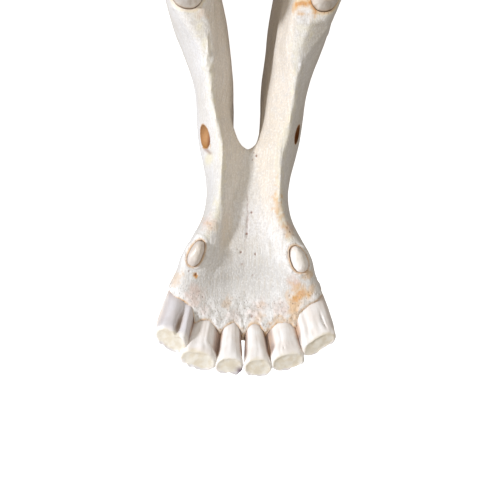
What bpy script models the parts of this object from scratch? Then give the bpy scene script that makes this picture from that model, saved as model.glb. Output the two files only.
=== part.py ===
"""Lower jaw (mandible) of a zebra, with its twenty teeth in their sockets.

Metres, +Z up. The jaw rests on its lower border at Z = 0, the incisors point towards -Y, and X = 0 is the
plane between its two halves. +X is the animal's left side. The driving sizes are in millimetres, and
distances along the jaw are measured back from the incisor tips.
"""

import math

import bmesh
import bpy
from mathutils import Matrix, Vector

MM = 0.001
JAW_MIDDLE = 200.2
SIDES = (("left", 1), ("right", -1))

SOCKET_GAP = 0.4
SOCKET_MOUTH = 6.0
GROUND_SLAB = (300.0, 600.0, 20.0)

BONE_COLOUR = (0.80, 0.75, 0.66, 1.0)
FRONT_TOOTH_COLOUR = (0.83, 0.79, 0.72, 1.0)
CHEEK_TOOTH_COLOUR = (0.74, 0.68, 0.58, 1.0)

# How far down each section of the bone, from its crest (0) to its lower border (1), its points lie
OUTER_SHARES = (0.0, 0.13, 0.40, 0.70, 0.90)
INNER_SHARES = (0.88, 0.50, 0.20, 0.17, 0.08, 0.0)

# Sections of one half of the bone, from the incisors back and up the ramus. Each row is the crest as
# (distance along the jaw, height), the lower border as the same, the distances from the middle plane of the
# outer face at OUTER_SHARES, of the lower border, and of the inner face at INNER_SHARES. An inner face
# beyond the middle plane is where the two halves are one, in the symphysis.
SECTIONS = (
    ((14.5, 46.8), (12.8, 41.0), (8, 8.6, 9, 8.6, 8), 4, (-6, -7, -7, -6.5, -6, -5)),
    ((18.5, 49.5), (15.0, 38.0), (15.5, 16.5, 17, 16, 14), 8, (-7, -8, -7, -6.5, -5, 6)),
    ((23.0, 50.5), (20.0, 33.0), (21.5, 23, 23.3, 21, 17), 9, (-8, -9, -8, -4, 4, 14)),
    ((30.0, 50.7), (29.0, 27.5), (26.4, 28.6, 28.2, 23.6, 17.2), 8, (-8, -9, -8, 4, 14, 22)),
    ((38.0, 51.3), (38.0, 21.0), (23, 25, 24.9, 20.5, 14.5), 7, (-8, -9, -8, 3.5, 10.5, 16.5)),
    ((44.0, 52.2), (44.0, 16.0), (21.5, 23.6, 23, 19, 13.5), 6, (-8, -9, -8, 3, 9, 14)),
    ((50.0, 51.6), (50.0, 12.0), (17.2, 20, 20, 17.5, 13.3), 6, (-8, -9, -7.5, 2.8, 8.4, 12.4)),
    ((57.0, 50.5), (57.0, 8.5), (13.2, 16, 16.6, 15.3, 12.2), 6, (-8, -9, -7.5, 2.6, 7.4, 10.8)),
    ((66.0, 49.5), (66.0, 5.0), (11.9, 13.9, 15.1, 14.5, 12.3), 6.5, (-8, -9, -7, 2.4, 6.8, 10)),
    ((75.0, 49.5), (75.0, 2.5), (11.5, 14.2, 16.2, 15.7, 13.3), 7, (-7, -8, -6.5, 2.4, 6.8, 9.9)),
    ((81.5, 50.0), (81.5, 1.2), (11.9, 14.8, 17.8, 17.5, 14.4), 8, (-4.5, -4.5, -4, 3, 7.4, 10.3)),
    ((83.0, 50.1), (83.0, 0.9), (12.1, 15, 18.1, 17.8, 14.6), 8.3, (-0.4, -0.4, -0.3, 4, 7.8, 10.6)),
    ((84.2, 50.2), (84.2, 0.7), (12.3, 15.3, 18.4, 18.1, 14.9), 8.6, (2.8, 2.6, 2.8, 4.7, 8.2, 10.9)),
    ((87.0, 50.4), (87.0, 0.3), (12.7, 15.6, 18.9, 18.7, 15.4), 9.4, (4.3, 4.3, 5, 6.1, 8.8, 11.4)),
    ((94.0, 51.1), (94.0, 0.0), (13.6, 16.4, 19.7, 19.6, 16.1), 10.5, (5.2, 5.3, 6.7, 7.6, 10.2, 12.4)),
    ((107.0, 53.5), (107.0, -0.6), (15.2, 17.6, 21.2, 21.1, 17.5), 12.3, (5.9, 6.2, 8.1, 9.1, 12, 13.9)),
    ((120.0, 56.8), (120.0, -0.6), (18.7, 22, 25.6, 25.7, 21.7), 14.6, (7.7, 7.9, 10.1, 11.3, 14.1, 16)),
    ((129.5, 59.8), (129.5, -0.4), (27.6, 28.8, 30.2, 29.9, 25), 16.6, (9, 9.3, 11.9, 12.9, 15, 15.9)),
    ((150.0, 64.5), (150.0, 0.2), (32.7, 34.2, 35.6, 34.6, 29.4), 21, (12.2, 14, 16.4, 16.6, 17, 17.4)),
    ((185.0, 71.5), (185.0, 1.0), (37.2, 39, 41, 40, 34.5), 28.5, (21, 21.6, 21.2, 20.8, 20.6, 20.8)),
    ((225.0, 80.0), (225.0, 1.8), (41.2, 43.5, 46.5, 46, 41.5), 36.5, (30.5, 28.5, 26, 25, 24.7, 24.8)),
    ((265.0, 89.0), (265.0, 3.0), (45.2, 48, 51.5, 52, 49), 45, (39.6, 36, 31.5, 30, 28.9, 28.8)),
    ((292.0, 96.0), (288.0, 4.0), (47.8, 50.8, 54.5, 56.5, 55.5), 51, (44.6, 40.6, 35.4, 34, 32.6, 32.4)),
    ((301.0, 110.0), (313.0, 0.7), (50, 53, 56.8, 60.5, 62.5), 57, (48.8, 45, 40.5, 39.6, 38.6, 38.5)),
    ((307.0, 133.0), (344.0, -1.6), (52.5, 54.3, 58, 62, 66.5), 62, (53.2, 50.3, 46, 45.2, 44, 44)),
    ((309.6, 143.7), (360.5, 6.3), (53.5, 55, 58, 62.4, 67.9), 63, (54.2, 51.5, 47.3, 46.5, 45.4, 45.3)),
    ((312.0, 154.0), (375.0, 19.0), (54.5, 55.7, 58.1, 62.7, 69), 64, (55, 52.6, 48.5, 47.8, 46.6, 46.5)),
    ((314.0, 162.5), (385.8, 35.5), (55.5, 56.4, 58.6, 63.2, 69.7), 65, (56, 53.6, 49.4, 48.8, 47.6, 47.5)),
    ((316.0, 171.0), (393.0, 54.0), (56.5, 57.3, 59.2, 63.8, 70.3), 65.5, (56.7, 54.6, 50.4, 49.8, 48.6, 48.5)),
    ((320.0, 186.0), (398.9, 90.0), (58.3, 58.8, 60.5, 64.6, 70.7), 66.5, (58.3, 56.1, 52.2, 51.6, 50.8, 50.7)),
    ((324.0, 197.0), (396.5, 125.0), (59.6, 60.3, 62, 66.3, 71.3), 67.5, (59.7, 57.6, 54, 53.4, 52.6, 52.4)),
    ((328.0, 206.0), (392.0, 158.0), (61.2, 62.1, 63.7, 67.8, 72.4), 68.5, (61.2, 58.6, 55.6, 55.1, 54.5, 54.4)),
    ((332.0, 212.0), (389.0, 184.0), (62.7, 63.7, 65.5, 69.4, 73.5), 69.5, (62.5, 59.8, 57.4, 56.9, 56.4, 56.3)),
)

# Horn-like pieces of the bone, as rings. Each row is the centre as (x, along, height), half the ring's width
# in the side view, half its thickness, and the lean of its width from level in degrees.
CORONOID = (
    ((59.3, 339.5, 192.0), 14.0, 2.8, -24),
    ((60.0, 342.6, 207.0), 13.0, 3.3, -22),
    ((60.8, 346.2, 221.0), 10.2, 3.2, -24),
    ((61.8, 351.5, 234.0), 7.6, 2.8, -32),
    ((62.4, 357.5, 244.0), 5.4, 2.3, -42),
    ((62.8, 361.5, 249.0), 2.6, 1.3, -48),
)
CONDYLE_NECK = (
    ((68.0, 381.5, 172.0), 9.5, 4.6, -8),
    ((68.8, 381.5, 186.0), 8.4, 6.0, -5),
    ((69.3, 382.5, 198.0), 7.2, 10.5, 0),
    ((69.3, 382.8, 206.0), 6.4, 16.5, 0),
)

# The condyle is a roller across the jaw. Each row is its centre, and half its depth and half its height.
CONDYLE = (
    ((47.5, 387.5, 205.0), 2.0, 1.6),
    ((49.5, 387.0, 205.6), 5.6, 4.2),
    ((56.0, 385.6, 207.2), 7.4, 5.8),
    ((64.0, 384.0, 208.6), 7.6, 6.2),
    ((73.0, 382.4, 208.6), 7.5, 6.0),
    ((82.0, 381.0, 207.8), 7.0, 5.6),
    ((88.5, 380.2, 206.6), 5.2, 4.0),
    ((90.5, 380.0, 206.2), 1.8, 1.4),
)

# Incisors: centre of the worn table, half width and half depth there, how far the crown points outwards and
# how far its worn table is turned, in degrees, and the share of its width that is left at the neck
INCISORS = (
    ("incisor_1", (5.35, 4.7, 57.0), 4.6, 3.1, 4, 6, 0.68),
    ("incisor_2", (16.0, 6.7, 57.0), 6.4, 2.8, 12, 21, 0.6),
    ("incisor_3", (27.0, 14.6, 56.8), 5.9, 2.8, 22, 37, 1.02),
)
INCISOR_RISE = 34.0
TABLE_SLOPE = 25.0
# Down an incisor from its table: the distance, the share of the way to the width of the neck, the share of
# that width, and the share of its depth that is left
INCISOR_TAPER = (
    (0.0, 0.0, 0.97, 0.94),
    (1.2, 0.0, 1.0, 1.0),
    (6.0, 0.25, 1.0, 1.1),
    (11.0, 0.7, 1.0, 1.14),
    (16.0, 1.0, 0.92, 1.0),
    (27.0, 1.0, 0.6, 0.66),
)
INCISOR_SOCKET_FROM = 9.0
INCISOR_POINTS = 14

CANINE_FOOT = (17.8, 46.8, 41.0)
CANINE_TOP = (19.1, 43.2, 58.6)
CANINE_TURN = 18.0
# Up a canine from its root: the share of the way, and half its length and half its width
CANINE_TAPER = (
    (0.0, 3.4, 2.3),
    (0.4, 4.7, 3.1),
    (0.7, 4.5, 3.0),
    (0.88, 3.6, 2.4),
    (0.97, 2.2, 1.5),
    (1.0, 0.9, 0.6),
)
CANINE_SOCKET_TO = 0.72
CANINE_POINTS = 12

# The row of cheek teeth: each tooth's length along the row and its greatest width
CHEEK_TEETH = (
    ("premolar_2", 29.0, 12.8),
    ("premolar_3", 26.8, 13.8),
    ("premolar_4", 26.0, 14.0),
    ("molar_1", 24.6, 13.4),
    ("molar_2", 25.0, 12.8),
    ("molar_3", 29.0, 11.6),
)
TOOTH_SPACING = 0.5
ROW_FRONT = (23.4, 131.0, 59.8)
ROW_BACK = (39.6, 291.5, 96.2)
CROWN_FRONT = 13.0
CROWN_BACK = 9.5
ROOT_DEPTH = 17.0
CROWN_SLOPE = 0.14
CROWN_EDGE = 0.7

# Outlines of the cheek teeth from above, from the front edge round the outer side, as shares of half the
# length and half the width
MIDDLE_OUTLINE = (
    (-1.0, -0.1), (-0.93, 0.62), (-0.58, 0.98), (-0.2, 0.86), (-0.04, 0.5), (0.12, 0.84),
    (0.52, 1.0), (0.93, 0.66), (1.0, 0.0), (0.88, -0.72), (0.6, -0.86), (0.36, -0.7),
    (0.16, -0.98), (-0.06, -0.74), (-0.28, -1.0), (-0.52, -0.7), (-0.8, -0.86),
)
FRONT_OUTLINE = (
    (-1.0, -0.08), (-0.88, 0.34), (-0.58, 0.72), (-0.24, 0.84), (-0.04, 0.54), (0.14, 0.86),
    (0.54, 1.0), (0.93, 0.7), (1.0, 0.0), (0.88, -0.74), (0.6, -0.88), (0.38, -0.7),
    (0.18, -0.98), (-0.04, -0.72), (-0.28, -0.92), (-0.56, -0.66), (-0.86, -0.48),
)
BACK_OUTLINE = (
    (-1.0, -0.1), (-0.94, 0.62), (-0.68, 1.0), (-0.38, 0.86), (-0.24, 0.48), (-0.1, 0.82),
    (0.16, 0.94), (0.46, 0.5), (0.76, 0.5), (1.0, 0.06), (0.84, -0.46), (0.52, -0.4),
    (0.24, -0.84), (0.0, -0.66), (-0.26, -0.98), (-0.52, -0.7), (-0.82, -0.88),
)

# Holes for nerves and vessels: the centre, half the size across, along and up
MENTAL_FORAMEN = ((16.4, 87.2, 40.5), (2.2, 4.4, 5.5))
MANDIBULAR_FORAMEN = ((50.5, 337.0, 121.0), (3.2, 4.2, 6.5))

# The dip between the coronoid and the condyle: the middle of its arc, the arc's radius, and half the length
# of the roller that cuts it
MANDIBULAR_NOTCH = ((364.0, 209.0), 14.0, 100.0)


def place(x, along, height):
    """A point of the jaw in metres, from millimetres: across, back from the incisor tips, up."""
    return Vector((x, along - JAW_MIDDLE, height)) * MM


def smooth_path(points, knots, wanted):
    """Reads a smooth curve through the points, which lie at the knots, at the wanted knot values."""
    last = len(points) - 1
    slopes = []
    for i in range(last + 1):
        before, after = max(i - 1, 0), min(i + 1, last)
        slopes.append((points[after] - points[before]) / (knots[after] - knots[before]))
    read = []
    for value in wanted:
        i = max(k for k in range(last) if knots[k] <= value or k == 0)
        span = knots[i + 1] - knots[i]
        t = (value - knots[i]) / span
        read.append(
            points[i] * (2 * t**3 - 3 * t**2 + 1)
            + slopes[i] * span * (t**3 - 2 * t**2 + t)
            + points[i + 1] * (3 * t**2 - 2 * t**3)
            + slopes[i + 1] * span * (t**3 - t**2)
        )
    return read


def section_ring(section):
    """The closed ring of control points of one section of the bone."""
    (crest_along, crest_height), (base_along, base_height), outer, base, inner = section
    ring = []
    for x, share in (*zip(outer, OUTER_SHARES), (base, 1.0), *zip(inner, INNER_SHARES)):
        along = crest_along + share * (base_along - crest_along)
        height = crest_height + share * (base_height - crest_height)
        ring.append(place(x, along, height))
    return ring


def rounded_ring(ring, steps):
    """The ring as a smooth closed outline, with this many points to each of its spans."""
    around = ring[-2:] + ring + ring[:3]
    knots = list(range(-2, len(ring) + 3))
    wanted = [i / steps for i in range(len(ring) * steps)]
    return smooth_path(around, knots, wanted)


def bone_rings(ring_steps, longest_step):
    """Rings of one half of the bone, no further apart along it than the longest step."""
    controls = [section_ring(section) for section in SECTIONS]
    centres = [sum(ring, Vector()) / len(ring) for ring in controls]
    knots = [0.0]
    for a, b in zip(centres, centres[1:]):
        knots.append(knots[-1] + (b - a).length)
    wanted = [0.0]
    for a, b in zip(knots, knots[1:]):
        steps = max(1, math.ceil((b - a) / (longest_step * MM) - 0.2))
        wanted += [a + (b - a) * (i + 1) / steps for i in range(steps)]
    lines = [smooth_path([ring[i] for ring in controls], knots, wanted) for i in range(len(controls[0]))]
    return [rounded_ring([line[i] for line in lines], ring_steps) for i in range(len(wanted))]


def ellipse(centre, across, up, half_across, half_up, count):
    """Points of an ellipse, from its centre in metres, two unit directions, and half sizes in millimetres."""
    turns = (2 * math.pi * i / count for i in range(count))
    return [centre + across * math.cos(t) * half_across * MM + up * math.sin(t) * half_up * MM for t in turns]


def horn_rings(rows, count):
    """Rings of a horn of the bone: each one's width lies in the side view, its thickness across the jaw."""
    rings = []
    for centre, half_width, half_thickness, lean in rows:
        angle = math.radians(lean)
        back = Vector((0, math.cos(angle), math.sin(angle)))
        rings.append(ellipse(place(*centre), Vector((1, 0, 0)), back, half_thickness, half_width, count))
    return rings


def condyle_rings(count):
    back, up = Vector((0, 1, 0)), Vector((0, 0, 1))
    return [ellipse(place(*centre), back, up, depth, height, count) for centre, depth, height in CONDYLE]


def mirrored(rings, side):
    """The rings, on the animal's left side (1) or its right side (-1)."""
    return [[Vector((side * p.x, p.y, p.z)) for p in ring] for ring in rings]


def incisor_rings(table, half_width, half_depth, outwards, turn, neck, gap, start):
    """Rings of an incisor down from its worn table, or of its socket where a gap is given."""
    aim, rise = math.radians(outwards), math.radians(INCISOR_RISE)
    axis = Vector((math.sin(aim) * math.cos(rise), -math.cos(aim) * math.cos(rise), math.sin(rise)))
    facing = math.radians(turn)
    labial = Vector((math.sin(facing), -math.cos(facing), 0))
    slope = math.radians(TABLE_SLOPE)
    table_normal = labial * math.sin(slope) + Vector((0, 0, math.cos(slope)))
    depth_way = (labial - axis * labial.dot(axis)).normalized()
    width_way = axis.cross(depth_way)
    rings = []
    for down, way, width_share, depth_share in INCISOR_TAPER:
        if down < start:
            continue
        width_share *= 1 + (neck - 1) * way
        centre = place(*table) - axis * down * MM
        ring = []
        for i in range(INCISOR_POINTS):
            angle = 2 * math.pi * i / INCISOR_POINTS
            across, deep = math.cos(angle), math.sin(angle)
            across = math.copysign(abs(across) ** 0.82, across) * (1 + 0.13 * deep)
            deep = math.copysign(abs(deep) ** 0.82, deep)
            point = centre + width_way * across * (half_width * width_share + gap) * MM
            point += depth_way * deep * (half_depth * depth_share + gap) * MM
            if down == 0.0:
                point -= axis * ((point - centre).dot(table_normal) / axis.dot(table_normal))
            ring.append(point)
        rings.append(ring)
    if gap:
        rings.insert(0, [point + axis * SOCKET_MOUTH * MM for point in rings[0]])
        rings[-1] = [point - axis * gap * MM for point in rings[-1]]
    return rings


def canine_rings(gap):
    """Rings of a canine up from its root, or of its socket where a gap is given."""
    foot, top = place(*CANINE_FOOT), place(*CANINE_TOP)
    axis = (top - foot).normalized()
    turn = math.radians(CANINE_TURN)
    long_way = Vector((-math.sin(turn), math.cos(turn), 0))
    long_way = (long_way - axis * long_way.dot(axis)).normalized()
    short_way = axis.cross(long_way)
    rings = []
    for share, half_length, half_width in CANINE_TAPER:
        if gap and share > CANINE_SOCKET_TO:
            continue
        centre = foot.lerp(top, share)
        rings.append(ellipse(centre, long_way, short_way, half_length + gap, half_width + gap, CANINE_POINTS))
    if gap:
        rings[0] = [point - axis * gap * MM for point in rings[0]]
        rings.append([point + axis * SOCKET_MOUTH * MM for point in rings[-1]])
    return rings


def cheek_outline(name):
    if name == "premolar_2":
        return FRONT_OUTLINE
    if name == "molar_3":
        return BACK_OUTLINE
    return MIDDLE_OUTLINE


def cheek_tooth_rings(name, length, width, start, gap):
    """Rings of a cheek tooth up from its root, or of its socket where a gap is given."""
    front, back = place(*ROW_FRONT), place(*ROW_BACK)
    along = (back - front).normalized()
    across = Vector((along.y, -along.x, 0)).normalized()
    up = across.cross(along)
    centre = front + along * (start + length / 2) * MM
    share = (centre - front).length / (back - front).length
    crown = CROWN_FRONT + share * (CROWN_BACK - CROWN_FRONT)
    levels = ((-ROOT_DEPTH, 0.9), (-2.0, 1.0), (crown - CROWN_EDGE, 1.0), (crown, 0.92))
    if gap:
        levels = ((-ROOT_DEPTH - gap, 0.9), (-2.0, 1.0), (SOCKET_MOUTH, 1.0))
    rings = []
    for height, size in levels:
        ring = []
        for u, v in cheek_outline(name):
            reach_along = u * (length / 2 * size + gap)
            reach_across = v * (width / 2 * size + gap)
            point = centre + along * reach_along * MM + across * reach_across * MM
            if not gap and height > 0:
                height_here = height - CROWN_SLOPE * reach_across
            else:
                height_here = height
            ring.append(point + up * height_here * MM)
        rings.append(ring)
    return rings


def new_object(name, bm, collection):
    """An object from a bmesh, in a collection, with its faces pointing out."""
    bmesh.ops.recalc_face_normals(bm, faces=bm.faces)
    mesh = bpy.data.meshes.new(name)
    bm.to_mesh(mesh)
    bm.free()
    made = bpy.data.objects.new(name, mesh)
    collection.objects.link(made)
    return made


def loft(name, rings, collection):
    """A closed solid through rings with the same number of points."""
    bm = bmesh.new()
    ring = [bm.verts.new(point) for point in rings[0]]
    edges = [bm.edges.new((ring[i - 1], ring[i])) for i in range(len(ring))]
    ends = [bm.faces.new(ring)]
    for points in rings[1:]:
        grown = bmesh.ops.extrude_edge_only(bm, edges=edges)["geom"]
        fresh = {part for part in grown if isinstance(part, bmesh.types.BMVert)}
        ring = [next(e.other_vert(v) for e in v.link_edges if e.other_vert(v) in fresh) for v in ring]
        for vertex, point in zip(ring, points):
            vertex.co = point
        edges = [e for e in grown if isinstance(e, bmesh.types.BMEdge) and set(e.verts) <= fresh]
    ends.append(bm.faces.new(ring))
    bmesh.ops.triangulate(bm, faces=ends)
    return new_object(name, bm, collection)


def ellipsoid(name, centre, radii, side, collection):
    bm = bmesh.new()
    bmesh.ops.create_uvsphere(bm, u_segments=10, v_segments=6, radius=1.0)
    bmesh.ops.scale(bm, vec=Vector(radii) * MM, verts=bm.verts)
    x, along, height = centre
    bmesh.ops.translate(bm, vec=place(side * x, along, height), verts=bm.verts)
    return new_object(name, bm, collection)


def roller(name, centre, radius, half_length, collection):
    """A cylinder lying across the jaw, from one side to the other."""
    bm = bmesh.new()
    bmesh.ops.create_cone(
        bm, cap_ends=True, segments=24, radius1=radius * MM, radius2=radius * MM, depth=2 * half_length * MM
    )
    bmesh.ops.rotate(bm, matrix=Matrix.Rotation(math.pi / 2, 3, "Y"), verts=bm.verts)
    bmesh.ops.translate(bm, vec=place(0, *centre), verts=bm.verts)
    return new_object(name, bm, collection)


def ground(name, collection):
    """A slab whose top is at the level that the jaw stands on."""
    bm = bmesh.new()
    bmesh.ops.create_cube(bm, size=1.0)
    bmesh.ops.scale(bm, vec=Vector(GROUND_SLAB) * MM, verts=bm.verts)
    bmesh.ops.translate(bm, vec=(0, 0, -GROUND_SLAB[2] / 2 * MM), verts=bm.verts)
    return new_object(name, bm, collection)


def guide(made):
    """Marks an object as a cutter or a shape that another object is joined with."""
    made.hide_render = True
    made.display_type = "WIRE"
    return made


def combine(target, other, operation):
    modifier = target.modifiers.new(f"{operation} {other.name}", "BOOLEAN")
    modifier.operation = operation
    modifier.object = other


def finish_material(name, colour, roughness):
    material = bpy.data.materials.new(name)
    material.use_nodes = True
    shader = material.node_tree.nodes["Principled BSDF"]
    shader.inputs["Base Color"].default_value = colour
    shader.inputs["Roughness"].default_value = roughness
    shader.inputs["Metallic"].default_value = 0.0
    material.diffuse_color = colour
    return material


def build_bone(jaw, cutters):
    """The bone as one half with its coronoid and condyle, mirrored to the other side."""
    bone = loft("mandible", bone_rings(2, 36), jaw)
    for name, rings in (
        ("coronoid", horn_rings(CORONOID, 10)),
        ("condyle_neck", horn_rings(CONDYLE_NECK, 12)),
        ("condyle", condyle_rings(12)),
    ):
        combine(bone, guide(loft(name, rings, cutters)), "UNION")
    mirror = bone.modifiers.new("other half", "MIRROR")
    mirror.use_axis = (True, False, False)
    mirror.use_bisect_axis = (True, False, False)
    mirror.merge_threshold = 0.00002
    notch = roller("mandibular_notch", *MANDIBULAR_NOTCH, cutters)
    combine(bone, guide(notch), "DIFFERENCE")
    combine(bone, guide(ground("ground", cutters)), "DIFFERENCE")
    return bone


def build_front_teeth(bone, jaw, cutters, material):
    for label, side in SIDES:
        for name, *shape in INCISORS:
            tooth = incisor_rings(*shape, 0.0, 0.0)
            made = loft(f"{name}_{label}", mirrored(tooth, side), jaw)
            made.data.materials.append(material)
            hole = incisor_rings(*shape, SOCKET_GAP, INCISOR_SOCKET_FROM)
            socket = loft(f"{name}_{label}_socket", mirrored(hole, side), cutters)
            combine(bone, guide(socket), "DIFFERENCE")
        made = loft(f"canine_{label}", mirrored(canine_rings(0.0), side), jaw)
        made.data.materials.append(material)
        socket = loft(f"canine_{label}_socket", mirrored(canine_rings(SOCKET_GAP), side), cutters)
        combine(bone, guide(socket), "DIFFERENCE")


def build_cheek_teeth(bone, jaw, cutters, material):
    for label, side in SIDES:
        start = 0.0
        for name, length, width in CHEEK_TEETH:
            tooth = cheek_tooth_rings(name, length, width, start, 0.0)
            made = loft(f"{name}_{label}", mirrored(tooth, side), jaw)
            made.data.materials.append(material)
            hole = cheek_tooth_rings(name, length, width, start, SOCKET_GAP)
            socket = loft(f"{name}_{label}_socket", mirrored(hole, side), cutters)
            combine(bone, guide(socket), "DIFFERENCE")
            start += length + TOOTH_SPACING


def build_foramina(bone, cutters):
    for label, side in SIDES:
        for name, (centre, radii) in (("mental", MENTAL_FORAMEN), ("mandibular", MANDIBULAR_FORAMEN)):
            hole = ellipsoid(f"{name}_foramen_{label}", centre, radii, side, cutters)
            combine(bone, guide(hole), "DIFFERENCE")


def main():
    for old in list(bpy.data.objects):
        bpy.data.objects.remove(old)
    jaw = bpy.data.collections.new("zebra_lower_jaw")
    cutters = bpy.data.collections.new("cutters")
    for collection in (jaw, cutters):
        bpy.context.scene.collection.children.link(collection)
    bone = build_bone(jaw, cutters)
    bone.data.materials.append(finish_material("bone", BONE_COLOUR, 0.62))
    front = finish_material("front teeth", FRONT_TOOTH_COLOUR, 0.38)
    cheek = finish_material("cheek teeth", CHEEK_TOOTH_COLOUR, 0.5)
    build_front_teeth(bone, jaw, cutters, front)
    build_cheek_teeth(bone, jaw, cutters, cheek)
    build_foramina(bone, cutters)


main()
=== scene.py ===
"""Looks of a zebra's lower jaw: the dry stained bone, its worn front teeth and its folded cheek teeth.

Everything is in metres in the part's frame: the jaw stands on Z = 0, the incisors point towards -Y and +X is
the animal's left side. Driving sizes are in millimetres, and distances along the jaw are measured back from
the incisor tips.
"""

import math

import bmesh
import bpy
import numpy as np
from mathutils import Matrix, Vector, noise


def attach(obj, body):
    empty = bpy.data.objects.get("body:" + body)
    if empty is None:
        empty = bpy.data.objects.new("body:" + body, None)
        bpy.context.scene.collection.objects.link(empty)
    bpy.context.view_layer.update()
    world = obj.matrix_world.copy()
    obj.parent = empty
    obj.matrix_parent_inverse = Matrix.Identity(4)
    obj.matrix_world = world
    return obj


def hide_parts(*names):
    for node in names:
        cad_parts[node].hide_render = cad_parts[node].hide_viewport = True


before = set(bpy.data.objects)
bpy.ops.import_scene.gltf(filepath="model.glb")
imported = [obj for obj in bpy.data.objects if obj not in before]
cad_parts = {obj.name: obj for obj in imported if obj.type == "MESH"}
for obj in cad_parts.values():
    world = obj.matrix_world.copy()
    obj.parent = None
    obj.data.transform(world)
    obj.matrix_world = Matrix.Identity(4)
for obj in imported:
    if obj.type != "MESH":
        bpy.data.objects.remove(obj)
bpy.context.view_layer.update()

MM = 0.001
# How far back from the incisor tips the frame's origin lies
JAW_MIDDLE = 200.2
SIDES = (("left", 1), ("right", -1))

# How far down each section of the bone, from its crest (0) to its lower border (1), its points lie
OUTER_SHARES = (0.0, 0.13, 0.40, 0.70, 0.90)
INNER_SHARES = (0.88, 0.50, 0.20, 0.17, 0.08, 0.0)

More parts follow.
